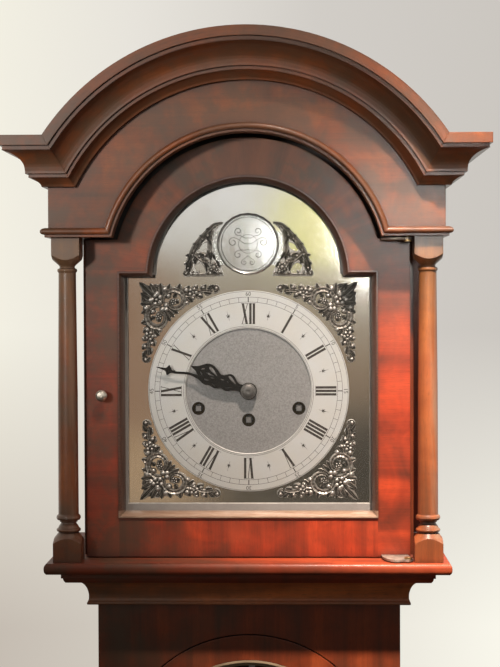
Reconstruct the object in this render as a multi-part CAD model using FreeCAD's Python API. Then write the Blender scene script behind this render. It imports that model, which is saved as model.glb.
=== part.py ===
import FreeCAD, Part
import math
import os

# Grandmother clock: arched hood with two turned columns, glazed hood door, brass break-arch dial,
# three-train spring movement with pendulum and chime rods, slim trunk with a glazed arched door, and base.
# Millimetres, +Z up, front towards -Y, origin on the floor under the middle of the outline.

V = FreeCAD.Vector

# Heights of the case, from the floor up
base_height = 400.0
base_moulding_height = 28.0
trunk_height = 673.0
throat_height = 22.0
hood_base_height = 19.5
column_height = 282.0
frieze_height = 43.2
cornice_height = 41.6

# Widths and depths of the case
trunk_width = 268.0
trunk_depth = 157.0
base_setout = 26.0
hood_width = 294.0
hood_setout = 8.0
frieze_width = 342.0
frieze_setout = 29.0
cornice_projection = 36.0
board_thickness = 11.0
backboard_thickness = 9.0
backboard_ear_width = 330.0

# Arch of the hood: the cornice's ends meet the corners of the frieze, door and dial spring from one level
arch_drop = 29.9
arch_lower_radius = 164.0
mitre_margin = 0.4
frieze_opening_radius = 120.0

# Clearances
overrun = 5.0
door_gap = 1.0
slide_gap = 0.5
running_gap = 0.05
free_gap = 0.4
swing_gap = 0.9

# Heights and faces worked out from the driving sizes
arch_outer_radius = arch_lower_radius + cornice_height
trunk_bottom = base_height + base_moulding_height
trunk_top = trunk_bottom + trunk_height
throat_top = trunk_top + throat_height
hood_floor = throat_top + hood_base_height
frieze_bottom = hood_floor + column_height
cornice_bottom = frieze_bottom + frieze_height
cornice_top = cornice_bottom + cornice_height
springing_z = frieze_bottom - arch_drop
frieze_half = frieze_width / 2
arch_z = cornice_top - math.sqrt(arch_outer_radius ** 2 - (frieze_half - mitre_margin) ** 2)
y_back = (trunk_depth + hood_setout + frieze_setout + cornice_projection) / 2
trunk_front = y_back - trunk_depth
door_front = trunk_front - hood_setout
frieze_front = door_front - frieze_setout
board_back = y_back - backboard_thickness
hood_back = board_back - slide_gap

# Base
base_half = trunk_width / 2 + base_setout
base_front = trunk_front - base_setout
plinth_height = 84.0
plinth_setout = 8.0
plinth_cap_height = 14.0
base_board_raise = 22.0

# Throat moulding under the hood and the slab that carries the hood
throat_projection = 16.5
throat_tier_shares = (
    ((0.0, 0.50), (0.02, 0.53), (0.06, 0.54), (0.11, 0.52)),
    ((0.11, 0.52), (0.16, 0.48), (0.23, 0.45), (0.32, 0.445), (0.45, 0.455), (0.64, 0.52), (0.80, 0.63),
     (0.92, 0.79), (1.0, 1.0)),
)
slab_half = 176.0
slab_front_setout = 34.0
slab_height = 9.5
slab_step = 13.0
slab_nose = 2.6
slab_foot_projection = 3.6

# Moulding profiles: shares of height and projection, from the bottom up, curved through three points or more
profile_steps = 3
cornice_tier_shares = (
    ((0.0, 0.13), (0.06, 0.16), (0.13, 0.26), (0.175, 0.36)),
    ((0.175, 0.40), (0.25, 0.40)),
    ((0.25, 0.47), (0.30, 0.47)),
    ((0.30, 0.47), (0.44, 0.50), (0.56, 0.60), (0.65, 0.76), (0.705, 0.95)),
    ((0.705, 0.93), (0.79, 0.93)),
    ((0.79, 1.0), (1.0, 1.0)),
)
bead_height = 8.0
bead_projection = 6.3
bead_tier_shares = (
    ((0.0, 0.45), (0.30, 0.45)),
    ((0.30, 0.72), (0.42, 0.93), (0.60, 1.0), (0.78, 0.93), (0.92, 0.70), (1.0, 0.40)),
)
base_moulding_tier_shares = (
    ((0.0, 0.30), (0.22, 0.30)),
    ((0.22, 0.86), (0.34, 0.98), (0.46, 0.98), (0.56, 0.86)),
    ((0.56, 0.70), (0.66, 0.46), (0.80, 0.28), (1.0, 0.20)),
)
base_moulding_projection = 13.0
slab_foot_tier_shares = (
    ((0.0, 0.0), (0.16, 0.34), (0.32, 0.52), (0.46, 0.60)),
    ((0.46, 1.0), (1.0, 1.0)),
)
slab_tier_shares = (((0.0, 0.3), (0.15, 0.75), (0.35, 1.0), (0.65, 1.0), (0.85, 0.75), (1.0, 0.3)),)
plinth_cap_tier_shares = (
    ((0.0, 1.0), (0.45, 1.0)),
    ((0.45, 0.86), (0.64, 0.78), (0.82, 0.54), (1.0, 0.12)),
)

# Hood boards
frieze_thickness = 14.0
frieze_side_thickness = 10.0
hood_side_thickness = 9.0
soffit_thickness = 7.0
roof_thickness = 5.0
roof_inset = 9.0

# Columns
column_x = 156.8
column_setout = 14.0
column_block = 24.5
plinth_block_height = 25.4
plinth_dome_share = 0.36
capital_height = 23.8
capital_round_share = 0.36
column_shaft_foot = 17.8
column_shaft_head = 15.2
foot_turning_height = 15.4
head_turning_height = 6.4
foot_turning_shares = (
    (0.70, 0.0), (0.83, 0.04), (0.87, 0.12), (0.83, 0.20), (0.76, 0.23), (0.68, 0.36), (0.56, 0.48),
    (0.54, 0.56), (0.64, 0.58), (0.64, 0.66), (0.80, 0.69), (0.87, 0.80), (0.84, 0.92), (0.74, 1.0),
)
head_turning_shares = (
    (0.63, 0.0), (0.69, 0.14), (0.71, 0.32), (0.68, 0.50), (0.56, 0.60), (0.53, 0.78), (0.60, 1.0),
)
shaft_swell_share = 0.02

# Hood door
hood_door_width = 285.2
hood_door_thickness = 19.5
hood_door_arch_radius = 118.0
hood_door_arch_bevel = 3.2
hood_opening_width = 228.8
hood_opening_radius = 89.7
hood_opening_drop = 4.9
hood_rail_height = 34.5
hood_shoulder_rise = 0.8
sight_moulding_width = 5.4
sight_moulding_depth = 9.0
sight_moulding_proud = 1.6
glass_thickness = 3.0
knob_diameter = 10.2
knob_length = 13.0
knob_height = 143.9
hood_knob_inset = 14.4
strap_thickness = 2.0
strap_length = 22.0
strap_width = 9.0
strap_front_shares = (
    (0.155, -0.13), (0.34, -0.20), (0.46, -0.22), (0.58, -0.19), (0.70, -0.10), (0.82, 0.08), (0.92, 0.32),
    (0.98, 0.60), (1.0, 0.86),
)
hinge_x = 139.0
hinge_setout = 23.0
hinge_pin_radius = 2.0
hinge_pin_depth = 6.0
hinge_head_radius = 3.4
hinge_head_height = 1.6

# Dial
dial_width = 220.0
dial_setback = 25.0
dial_thickness = 2.0
dial_centre_height = 146.0
dial_lower_reach = 102.5
dial_arch_radius = 84.0
chapter_outer_radius = 90.0
chapter_inner_radius = 56.0
chapter_thickness = 1.5
boss_rise = 131.5
boss_radius = 28.0
boss_thickness = 3.0
spandrel_inner = 27.0
spandrel_outer = 96.0
spandrel_gap = 2.0
spandrel_thickness = 3.6
arch_mount_half = 57.0
arch_mount_height = 46.0
arch_mount_lift = 3.0
arch_mount_radius = 73.0
mask_thickness = 4.0
mask_overlap = 1.8
mask_arch_radius = 136.0
winding_side_x = 45.0
winding_side_drop = 15.6
winding_hole_radius = 5.9

# Hands, drawn at about a quarter to ten
minute_hand_length = 85.0
minute_hand_angle = 285.0
hour_hand_length = 57.0
hour_hand_angle = 293.75
hand_thickness = 0.8
hand_hub_radius = 7.0
hand_blade_width = 3.4
hand_cross_width = 12.0
hour_hand_lift = 3.6
minute_hand_lift = 6.4
hand_nut_height = 2.6
hand_nut_radius = 6.9
hand_shape_shares = ((0.05, 0.62), (0.26, 1.0), (0.42, 0.45), (0.58, 1.0), (0.74, 0.45), (0.84, 0.60))

# Movement
plate_width = 132.0
plate_top = 64.0
plate_bottom = 74.0
plate_thickness = 2.5
plate_gap = 46.0
dial_gap = 12.0
pillar_radius = 4.0
pillar_inset = 7.0
barrel_radius = 18.6
barrel_length = 28.0
barrel_start = 7.0
great_wheel_start = 3.0
great_wheel_width = 2.4
arbor_radius = 1.2
winding_radius = 3.0
winding_square = 4.6
winding_square_length = 9.0
winding_reach = 1.2
wheel_width = 1.8
pinion_width = 3.4
going_module = 0.667
great_teeth = 66
centre_pinion_teeth = 12
train_module = 0.5
train_teeth = 80
train_pinion_teeth = 8
third_angle = 130.0
centre_wheel_start = 38.2
third_wheel_start = 30.2
escape_wheel_start = 20.0
escape_teeth = 30
escape_radius = 13.0
escape_depth = 2.2
escape_tooth_shares = (0.0, 0.42, 0.52)
anchor_rise = 19.0
anchor_thickness = 2.2
hub_wall = 1.4
spoke_width = 2.2
spoke_count = 4
rim_width = 2.4
motion_module = 0.75
cannon_teeth = 12
minute_wheel_teeth = 36
minute_pinion_teeth = 10
hour_wheel_teeth = 40
cannon_bore_wall = 0.9
hour_pipe_wall = 1.0
motion_start = 1.2
motion_layer = 4.2
stud_radius = 1.6
tooth_root_share = 0.27
tooth_tip_share = 0.12
addendum_share = 0.8
dedendum_share = 1.15

# Pendulum, crutch and back cock
pendulum_length = 358.0
pendulum_setback = 18.0
pendulum_rod_width = 6.0
pendulum_rod_thickness = 2.0
spring_thickness = 0.3
spring_width = 6.0
spring_length = 16.0
bob_radius = 38.0
bob_thickness = 14.0
bob_edge_share = 0.28
rating_nut_radius = 6.0
rating_nut_height = 4.0
rating_screw_radius = 1.5
crutch_drop = 34.0
crutch_width = 3.0
fork_length = 12.0
cock_height = 8.0
cock_width = 22.0
cock_lift = 2.2
suspension_pin_radius = 1.0
suspension_pin_length = 9.0
suspension_pin_gap = 0.6

# Seatboard, hammers and chime rods
seatboard_thickness = 12.0
seatboard_rear = 4.0
rod_count = 5
rod_radius = 1.6
rod_length = 240.0
rod_pitch = 10.0
rod_first_x = 36.0
rod_setback = 18.0
gong_block_height = 16.0
gong_block_drop = 46.0
gong_block_margin = 8.0
gong_block_lip = 4.0
hammer_arbor_radius = 1.5
hammer_arbor_drop = 4.0
hammer_arm_radius = 1.2
hammer_head_length = 12.0
hammer_head_radius = 3.6
hammer_rest_gap = 2.4
hammer_head_drop = 62.0
hammer_ear_width = 4.0
hammer_ear_height = 18.0

# Trunk door
trunk_door_width = 236.0
trunk_door_thickness = 15.0
trunk_door_bottom_rise = 34.0
trunk_door_top_drop = 28.6
trunk_door_stile = 22.3
trunk_bead_width = 6.0
trunk_bead_lip = 2.0
trunk_glass_setback = 6.0
trunk_hinge_height = 42.0
trunk_hinge_inset = 90.0
trunk_knuckle_radius = 2.3
trunk_pin_radius = 1.1
trunk_leaf_width = 11.0
trunk_leaf_thickness = 1.2
trunk_knob_inset = 11.0


def box(x0, x1, y0, y1, z0, z1):
    return Part.makeBox(x1 - x0, y1 - y0, z1 - z0, V(x0, y0, z0))


def mirrored(shape):
    return shape.mirror(V(0, 0, 0), V(1, 0, 0))


def rod_x(y, z, radius, x0, x1):
    return Part.makeCylinder(radius, x1 - x0, V(x0, y, z), V(1, 0, 0))


def rod_y(x, z, radius, y0, y1):
    return Part.makeCylinder(radius, y1 - y0, V(x, y0, z), V(0, 1, 0))


def rod_z(x, y, radius, z0, z1):
    return Part.makeCylinder(radius, z1 - z0, V(x, y, z0), V(0, 0, 1))


def prism_y(points, y0, y1):
    corners = [V(x, y0, z) for x, z in points]
    face = Part.Face(Part.makePolygon(corners + corners[:1]))
    return face.extrude(V(0, y1 - y0, 0))


def fused(shapes):
    first, rest = shapes[0], shapes[1:]
    return first.multiFuse(rest).removeSplitter() if rest else first


def turned(points, x, y):
    """Solid of revolution about a vertical axis from (radius, height) points."""
    outline = [V(0, 0, points[0][1])] + [V(r, 0, z) for r, z in points] + [V(0, 0, points[-1][1])]
    face = Part.Face(Part.makePolygon(outline + outline[:1]))
    solid = face.revolve(V(0, 0, 0), V(0, 0, 1), 360)
    solid.translate(V(x, y, 0))
    return solid


def turned_y(points, x, z):
    """Solid of revolution about a front-to-back axis from (radius, y) points."""
    outline = [V(0, points[0][1], 0)] + [V(r, y, 0) for r, y in points] + [V(0, points[-1][1], 0)]
    face = Part.Face(Part.makePolygon(outline + outline[:1]))
    solid = face.revolve(V(0, 0, 0), V(0, 1, 0), 360)
    solid.translate(V(x, 0, z))
    return solid


def eased(a, b, c, d, t):
    """Smooth curve from b to c, with a and d beyond its ends."""
    bend = (2 * a - 5 * b + 4 * c - d) * t ** 2 + (3 * b - a - 3 * c + d) * t ** 3
    return b + ((c - a) * t + bend) / 2


def smoothed(run):
    """Points of a curve through a run of three or more points."""
    if len(run) < 3:
        return run
    ends = [run[0]] + list(run) + [run[-1]]
    points = []
    for n in range(len(run) - 1):
        for step in range(profile_steps):
            four = zip(*ends[n:n + 4])
            points.append(tuple(eased(*values, step / profile_steps) for values in four))
    return points + [run[-1]]


def tier_heights(tiers, bottom, height, projection):
    """Profile shares as (height, projection) runs in millimetres."""
    return [[(bottom + h * height, p * projection) for h, p in smoothed(run)] for run in tiers]


def mitred_block(runs, half, front):
    """Block whose front and two sides step out along a profile, with mitred corners."""
    layers = []
    for run in runs:
        wires = []
        for z, p in run:
            corners = [V(-half - p, board_back, z), V(-half - p, front - p, z),
                       V(half + p, front - p, z), V(half + p, board_back, z)]
            wires.append(Part.makePolygon(corners + corners[:1]))
        layers.append(Part.makeLoft(wires, True, True))
    return fused(layers)


def mitred_moulding(runs, half, front):
    """Moulding on the front and sides of a box, open at the back."""
    low, high = runs[0][0][0], runs[-1][-1][0]
    core = box(-half, half, front, board_back + overrun, low - overrun, high + overrun)
    return mitred_block(runs, half, front).cut(core)


def arch_moulding(runs, base_height_z, radius, centre_z):
    """The same profile turned about an arch centre, starting at a radius."""
    rings = []
    for run in runs:
        outline = [(frieze_front, run[0][0])] + [(frieze_front - p, z) for z, p in run]
        outline.append((frieze_front, run[-1][0]))
        corners = [V(radius + z - base_height_z, y, 0) for y, z in outline]
        face = Part.Face(Part.makePolygon(corners + corners[:1]))
        rings.append(face.revolve(V(0, 0, 0), V(0, 1, 0), 360))
    ring = fused(rings)
    ring.translate(V(0, 0, centre_z))
    return ring


def arch_reach(radius, z, centre_z):
    return math.sqrt(radius ** 2 - (z - centre_z) ** 2)


def mitre_wedge(low_z, high_z, radius, centre_z):
    """Space between the two mitres where a level moulding turns into the arch."""
    low_x = arch_reach(radius, low_z, centre_z)
    high_x = arch_reach(radius + high_z - low_z, high_z, centre_z)
    lean = (high_x - low_x) / (high_z - low_z)
    foot_z = low_z - overrun
    foot_x = low_x - overrun * lean
    head_z = arch_z + arch_outer_radius + overrun
    head_x = high_x + (head_z - high_z) * lean
    points = [(-foot_x, foot_z), (foot_x, foot_z), (head_x, head_z), (-head_x, head_z)]
    return prism_y(points, frieze_front - cornice_projection - overrun, frieze_front)


def break_arch(half, bottom, shoulder, radius, y, centre_z=springing_z):
    """Closed outline of a square-shouldered arch in the plane at y."""
    start = arch_reach(radius, shoulder, centre_z)
    arc = Part.Arc(V(start, y, shoulder), V(0, y, centre_z + radius), V(-start, y, shoulder))
    edges = [
        Part.makeLine(V(-half, y, bottom), V(half, y, bottom)),
        Part.makeLine(V(half, y, bottom), V(half, y, shoulder)),
        Part.makeLine(V(half, y, shoulder), V(start, y, shoulder)),
        arc.toShape(),
        Part.makeLine(V(-start, y, shoulder), V(-half, y, shoulder)),
        Part.makeLine(V(-half, y, shoulder), V(-half, y, bottom)),
    ]
    return Part.Wire(edges)


def break_arch_plate(half, bottom, shoulder, radius, y0, y1, centre_z=springing_z):
    outline = break_arch(half, bottom, shoulder, radius, y0, centre_z)
    return Part.Face(outline).extrude(V(0, y1 - y0, 0))


def round_arch(half, bottom, centre_z, y):
    """Closed outline of a round-headed opening in the plane at y."""
    arc = Part.Arc(V(half, y, centre_z), V(0, y, centre_z + half), V(-half, y, centre_z))
    edges = [
        Part.makeLine(V(-half, y, bottom), V(half, y, bottom)),
        Part.makeLine(V(half, y, bottom), V(half, y, centre_z)),
        arc.toShape(),
        Part.makeLine(V(-half, y, centre_z), V(-half, y, bottom)),
    ]
    return Part.Wire(edges)


def round_arch_plate(half, bottom, centre_z, y0, y1):
    return Part.Face(round_arch(half, bottom, centre_z, y0)).extrude(V(0, y1 - y0, 0))


parts = {}


def keep(name, *solids):
    parts[name] = solids[0] if len(solids) == 1 else Part.makeCompound(list(solids))


# Base: panels, plinth skirting and the moulding that carries the trunk
base_inner = base_half - board_thickness
base_panel_front = base_front + board_thickness
base_panel = box(-base_half, base_half, base_front, base_panel_front, 0, base_height)
base_side = box(base_inner, base_half, base_panel_front, board_back, 0, base_height)
base_floor = box(-base_inner, base_inner, base_panel_front, board_back,
                 base_board_raise, base_board_raise + board_thickness)
keep("base_panels", base_panel, mirrored(base_side), base_side, base_floor)
plinth_runs = [[(0, plinth_setout), (plinth_height - plinth_cap_height, plinth_setout)]]
plinth_runs += tier_heights(plinth_cap_tier_shares, plinth_height - plinth_cap_height,
                            plinth_cap_height, plinth_setout)
keep("plinth_skirting", mitred_moulding(plinth_runs, base_half, base_front))
trunk_half = trunk_width / 2
trunk_inner = trunk_half - board_thickness
base_moulding_runs = tier_heights(base_moulding_tier_shares, base_height, base_moulding_height,
                                  base_setout + base_moulding_projection)
base_moulding = mitred_moulding(base_moulding_runs, trunk_half, trunk_front)
keep("base_moulding", base_moulding)

# Trunk: sides that rise as cheeks to the seatboard, front frame and full-height backboard
dial_front = door_front + dial_setback
dial_back = dial_front + dial_thickness
plate_front = dial_back + dial_gap
train_front = plate_front + plate_thickness
train_back = train_front + plate_gap
plate_back = train_back + plate_thickness
seatboard_front = plate_front - seatboard_rear
seatboard_back = plate_back + seatboard_rear
dial_z = hood_floor + dial_centre_height
movement_foot = dial_z - plate_bottom
seatboard_bottom = movement_foot - seatboard_thickness
trunk_frame_back = trunk_front + board_thickness
trunk_side = box(trunk_inner, trunk_half, trunk_frame_back, board_back, base_height, throat_top)
cheek = box(trunk_inner, trunk_half, seatboard_front, board_back, throat_top, seatboard_bottom)
trunk_side = fused([trunk_side, cheek])
keep("trunk_sides", mirrored(trunk_side), trunk_side)
trunk_door_half = trunk_door_width / 2
trunk_arch_z = trunk_top - trunk_door_top_drop - trunk_door_half
trunk_door_bottom = trunk_bottom + trunk_door_bottom_rise
trunk_frame = box(-trunk_half, trunk_half, trunk_front, trunk_frame_back, base_height, throat_top)
trunk_frame_opening = round_arch_plate(trunk_door_half + door_gap, trunk_door_bottom - door_gap,
                                       trunk_arch_z, trunk_front - overrun, trunk_frame_back + overrun)
keep("trunk_front_frame", trunk_frame.cut(trunk_frame_opening))
backboard_ear_half = backboard_ear_width / 2
roof_outer = arch_outer_radius - roof_inset
roof_inner = roof_outer - roof_thickness
backboard_head_radius = roof_inner - slide_gap
backboard_trunk = box(-base_half, base_half, board_back, y_back, 0, base_height)
backboard_neck = box(-trunk_half, trunk_half, board_back, y_back, base_height, hood_floor)
backboard_trunk = backboard_trunk.fuse(backboard_neck)
backboard_head = box(-backboard_ear_half, backboard_ear_half, board_back, y_back,
                     hood_floor, arch_z + backboard_head_radius)
backboard_round = rod_y(0, arch_z, backboard_head_radius, board_back, y_back)
backboard_below = box(-backboard_ear_half, backboard_ear_half, board_back, y_back, hood_floor, arch_z)
backboard_head = backboard_head.common(backboard_round.fuse(backboard_below))
keep("backboard", fused([backboard_trunk, backboard_head]))
throat_runs = tier_heights(throat_tier_shares, trunk_top, throat_height, throat_projection)
keep("throat_moulding", mitred_moulding(throat_runs, trunk_half, trunk_front))

# Seatboard that carries the movement
seatboard = box(-trunk_half, trunk_half, seatboard_front, seatboard_back, seatboard_bottom, movement_foot)

# Hood: slab, sides, soffits, frieze, roof and mouldings
hood_half = hood_width / 2
hood_inner = hood_half - hood_side_thickness
slab_front = door_front - slab_front_setout
slab_bottom = hood_floor - slab_height
slab_step_half = slab_half - slab_step
slab_step_front = slab_front + slab_step
slab_low = throat_top + slide_gap
hood_moulding_back = box(-slab_half - frieze_half, slab_half + frieze_half, hood_back, board_back + overrun,
                         0, cornice_top + overrun)
slab_runs = tier_heights(slab_tier_shares, slab_bottom, slab_height, slab_nose)
slab = mitred_block(slab_runs, slab_half - slab_nose, slab_front + slab_nose).cut(hood_moulding_back)
slab_foot_runs = tier_heights(slab_foot_tier_shares, slab_low, slab_bottom - slab_low, slab_foot_projection)
slab_foot = mitred_block(slab_foot_runs, slab_step_half - slab_foot_projection,
                         slab_step_front + slab_foot_projection)
slab_foot = slab_foot.cut(hood_moulding_back)
hood_base = fused([slab, slab_foot])
hood_well_half = trunk_half + slide_gap
hood_well_front = seatboard_front - slide_gap
hood_base = hood_base.cut(box(-hood_well_half, hood_well_half, hood_well_front, hood_back + overrun,
                              throat_top, hood_floor + overrun))
door_back = door_front + hood_door_thickness
hood_wall_front = door_back + slide_gap
hood_side = box(hood_inner, hood_half, hood_wall_front, hood_back, hood_floor, frieze_bottom)
keep("hood_sides", mirrored(hood_side), hood_side)
frieze_back = frieze_front + frieze_thickness
frieze_inner = frieze_half - frieze_side_thickness
soffit_top = frieze_bottom + soffit_thickness
soffit = box(hood_inner, frieze_half, frieze_back, hood_back, frieze_bottom, soffit_top)
roof_bore = rod_y(0, arch_z, roof_inner, frieze_front - overrun, hood_back + overrun)
frieze_space = box(-frieze_half, frieze_half, frieze_front - overrun, hood_back + overrun,
                   frieze_bottom, cornice_bottom)
roof_space = roof_bore.fuse(frieze_space)
frieze_board = box(-frieze_half, frieze_half, frieze_front, frieze_back, frieze_bottom, arch_z + roof_inner)
frieze_board = frieze_board.common(roof_space)
frieze_opening = rod_y(0, springing_z, frieze_opening_radius, frieze_front - overrun, frieze_back + overrun)
keep("hood_frieze", frieze_board.cut(frieze_opening))
frieze_side = box(frieze_inner, frieze_half, frieze_back, hood_back, soffit_top, arch_z + roof_inner)
frieze_side = frieze_side.common(roof_space)
keep("entablature_boards", soffit, mirrored(soffit), frieze_side, mirrored(frieze_side))
roof_tube = rod_y(0, arch_z, roof_outer, frieze_front, hood_back)
roof_band = box(-frieze_half, frieze_half, frieze_front, hood_back, cornice_bottom, arch_z + roof_outer)
keep("hood_roof", roof_tube.cut(roof_bore).common(roof_band))

cornice_runs = tier_heights(cornice_tier_shares, cornice_bottom, cornice_height, cornice_projection)
cornice_wedge = mitre_wedge(cornice_bottom, cornice_top, arch_lower_radius, arch_z)
cornice_level = mitred_moulding(cornice_runs, frieze_half, frieze_front)
cornice_level = cornice_level.cut(cornice_wedge).cut(hood_moulding_back)
keep("cornice_returns", *cornice_level.Solids)
cornice_ring = arch_moulding(cornice_runs, cornice_bottom, arch_lower_radius, arch_z)
keep("cornice_arch", cornice_ring.common(cornice_wedge))
bead_runs = tier_heights(bead_tier_shares, frieze_bottom, bead_height, bead_projection)
bead_wedge = mitre_wedge(frieze_bottom, frieze_bottom + bead_height, frieze_opening_radius, springing_z)
bead_level = mitred_moulding(bead_runs, frieze_half, frieze_front).cut(bead_wedge).cut(hood_moulding_back)
bead_arch = arch_moulding(bead_runs, frieze_bottom, frieze_opening_radius, springing_z).common(bead_wedge)
keep("frieze_bead", *(bead_level.Solids + [bead_arch]))


# Columns
def column_solid(x):
    y = door_front - column_setout
    half = column_block / 2
    plinth_top = hood_floor + plinth_block_height
    capital_bottom = frieze_bottom - capital_height
    corner = half * math.sqrt(2)
    dome = plinth_block_height * plinth_dome_share
    dome_points = [(corner, hood_floor), (corner, plinth_top - dome), (half, plinth_top - dome / 2),
                   (half * foot_turning_shares[0][0], plinth_top)]
    block = box(x - half, x + half, y - half, y + half, hood_floor, plinth_top)
    plinth = block.common(turned(dome_points, x, y))
    bowl = capital_height * capital_round_share
    bowl_points = [(half * head_turning_shares[-1][0], capital_bottom), (half, capital_bottom + bowl / 2),
                   (corner, capital_bottom + bowl), (corner, frieze_bottom)]
    block = box(x - half, x + half, y - half, y + half, capital_bottom, frieze_bottom)
    capital = block.common(turned(bowl_points, x, y))
    shaft_bottom = plinth_top + foot_turning_height
    shaft_top = capital_bottom - head_turning_height
    foot = [(r * half, plinth_top + h * foot_turning_height) for r, h in foot_turning_shares]
    middle = (column_shaft_foot + column_shaft_head) / 4 + column_shaft_foot * shaft_swell_share
    shaft = [(column_shaft_foot / 2, shaft_bottom), (middle, (shaft_bottom + shaft_top) / 2),
             (column_shaft_head / 2, shaft_top)]
    head = [(r * half, shaft_top + h * head_turning_height) for r, h in head_turning_shares]
    return fused([plinth, turned(foot + shaft + head, x, y), capital])


keep("columns", column_solid(-column_x), column_solid(column_x))

# Hood door: frame, sight moulding, glass, knob and pivot straps
door_bottom = hood_floor + door_gap
door_shoulder = frieze_bottom - door_gap
door_half = hood_door_width / 2
opening_half = hood_opening_width / 2
opening_bottom = door_bottom + hood_rail_height
opening_shoulder = springing_z + hood_shoulder_rise
opening_arch_z = springing_z - hood_opening_drop
door_face = break_arch(door_half, door_bottom, door_shoulder, hood_door_arch_radius, door_front)
door_rear = break_arch(door_half, door_bottom, door_shoulder, hood_door_arch_radius - hood_door_arch_bevel,
                       door_back)
door_plate = Part.makeLoft([door_face, door_rear], True, True)
hinge_y = door_front - hinge_setout
closing_radius = hinge_x + column_x - column_block / 2 - free_gap
closing_sweep = rod_z(hinge_x, hinge_y, closing_radius, door_bottom - overrun,
                      springing_z + hood_door_arch_radius + overrun)
door_plate = door_plate.common(closing_sweep)
door_hole = break_arch_plate(opening_half, opening_bottom, opening_shoulder, hood_opening_radius,
                             door_front - overrun, door_back + overrun, opening_arch_z)
strap_half = strap_width / 2


def strap_solid(z0):
    """Flat pivot strap let into the door edge, reaching forward to the pin."""
    points = [(hinge_x - strap_length, door_front + strap_width), (hinge_x, door_front + strap_width),
              (hinge_x + strap_half, hinge_y), (hinge_x, hinge_y - strap_half)]
    points += [(hinge_x - strap_length * across, hinge_y + hinge_setout * back)
               for across, back in strap_front_shares]
    corners = [V(x, y, z0) for x, y in points]
    plate = Part.Face(Part.makePolygon(corners + corners[:1])).extrude(V(0, 0, strap_thickness))
    return plate.cut(rod_z(hinge_x, hinge_y, hinge_pin_radius + running_gap, z0 - overrun, z0 + overrun))


straps = [strap_solid(door_bottom), strap_solid(door_shoulder - strap_thickness)]
hood_door_frame = door_plate.cut(door_hole)
for strap in straps:
    hood_door_frame = hood_door_frame.cut(strap)
keep("hood_door_frame", hood_door_frame)
keep("hood_door_straps", *straps)
pin_tops = [door_bottom + strap_thickness + running_gap, door_shoulder - strap_thickness - running_gap]
lower_pin = rod_z(hinge_x, hinge_y, hinge_pin_radius, hood_floor - hinge_pin_depth, pin_tops[0])
lower_head = rod_z(hinge_x, hinge_y, hinge_head_radius, pin_tops[0], pin_tops[0] + hinge_head_height)
upper_pin = rod_z(hinge_x, hinge_y, hinge_pin_radius, pin_tops[1], frieze_bottom + hinge_pin_depth)
upper_head = rod_z(hinge_x, hinge_y, hinge_head_radius, pin_tops[1] - hinge_head_height, pin_tops[1])
keep("hood_hinge_pins", fused([lower_pin, lower_head]), fused([upper_pin, upper_head]))
parts["hood_frieze"] = parts["hood_frieze"].cut(upper_pin)
keep("hood_base_frame", hood_base.cut(lower_pin))

sight_front = door_front - sight_moulding_proud
glass_front = door_front + sight_moulding_depth
sight_steps_shares = ((0.25, 0.0), (0.34, 0.06), (0.55, 0.22), (0.775, 0.50), (0.925, 0.80), (1.0, 1.0))


def opening_outline(inset, y):
    return break_arch(opening_half - inset, opening_bottom + inset, opening_shoulder - inset,
                      hood_opening_radius - inset, y, opening_arch_z)


sight_blank = Part.Face(opening_outline(0, sight_front)).extrude(V(0, glass_front - sight_front, 0))
sight_wires = [opening_outline(sight_moulding_width * run, sight_front + (glass_front - sight_front) * depth)
               for run, depth in sight_steps_shares]
sight_flare = Part.makeLoft(sight_wires, True, True)
keep("sight_moulding", sight_blank.cut(sight_flare))
keep("hood_door_glass", Part.Face(opening_outline(free_gap, glass_front)).extrude(V(0, glass_thickness, 0)))


def knob_solid(x, front, z):
    """Turned knob on a short rose."""
    radius = knob_diameter / 2
    profile_shares = ((0.62, 0.0), (0.62, 0.12), (0.34, 0.16), (0.30, 0.42), (0.74, 0.52),
                      (1.0, 0.68), (0.94, 0.84), (0.66, 0.95), (0.24, 1.0))
    return turned_y([(r * radius, front - h * knob_length) for r, h in profile_shares], x, z)


keep("hood_door_knob", knob_solid(-door_half + hood_knob_inset, door_front, hood_floor + knob_height))

# Dial: mask, plate with feet, chapter ring, boss and cast mounts
mask_half = hood_inner
mask_back = dial_front - slide_gap
mask_front = mask_back - mask_thickness
mask_plate = break_arch_plate(mask_half, hood_floor, frieze_bottom, mask_arch_radius, mask_front, mask_back)
dial_half = dial_width / 2
dial_bottom = dial_z - dial_lower_reach
mask_sight_bottom = dial_bottom + mask_overlap
mask_sight_shoulder = springing_z - mask_overlap
mask_hole = break_arch_plate(dial_half - mask_overlap, mask_sight_bottom, mask_sight_shoulder,
                             dial_arch_radius - mask_overlap, mask_front - overrun, mask_back + overrun)
keep("dial_mask", mask_plate.cut(mask_hole))
great_distance = going_module * (great_teeth + centre_pinion_teeth) / 2
winding_places = {
    "strike": (-winding_side_x, dial_z - winding_side_drop),
    "going": (0, dial_z - great_distance),
    "chime": (winding_side_x, dial_z - winding_side_drop),
}
centre_distance = motion_module * (cannon_teeth + minute_wheel_teeth) / 2
hour_module = 2 * centre_distance / (minute_pinion_teeth + hour_wheel_teeth)
cannon_pipe_radius = arbor_radius + running_gap + cannon_bore_wall
hour_pipe_radius = cannon_pipe_radius + running_gap + hour_pipe_wall
dial_plate = break_arch_plate(dial_half, dial_bottom, springing_z, dial_arch_radius, dial_front, dial_back)
for x, z in winding_places.values():
    dial_plate = dial_plate.cut(rod_y(x, z, winding_hole_radius, dial_front - overrun, dial_back + overrun))
dial_plate = dial_plate.cut(rod_y(0, dial_z, hour_pipe_radius + free_gap,
                                  dial_front - overrun, dial_back + overrun))
plate_half = plate_width / 2
foot_x = plate_half - pillar_inset * 2
foot_z_high = dial_z + plate_top - pillar_inset * 2
foot_z_low = movement_foot + pillar_inset * 2
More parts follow.
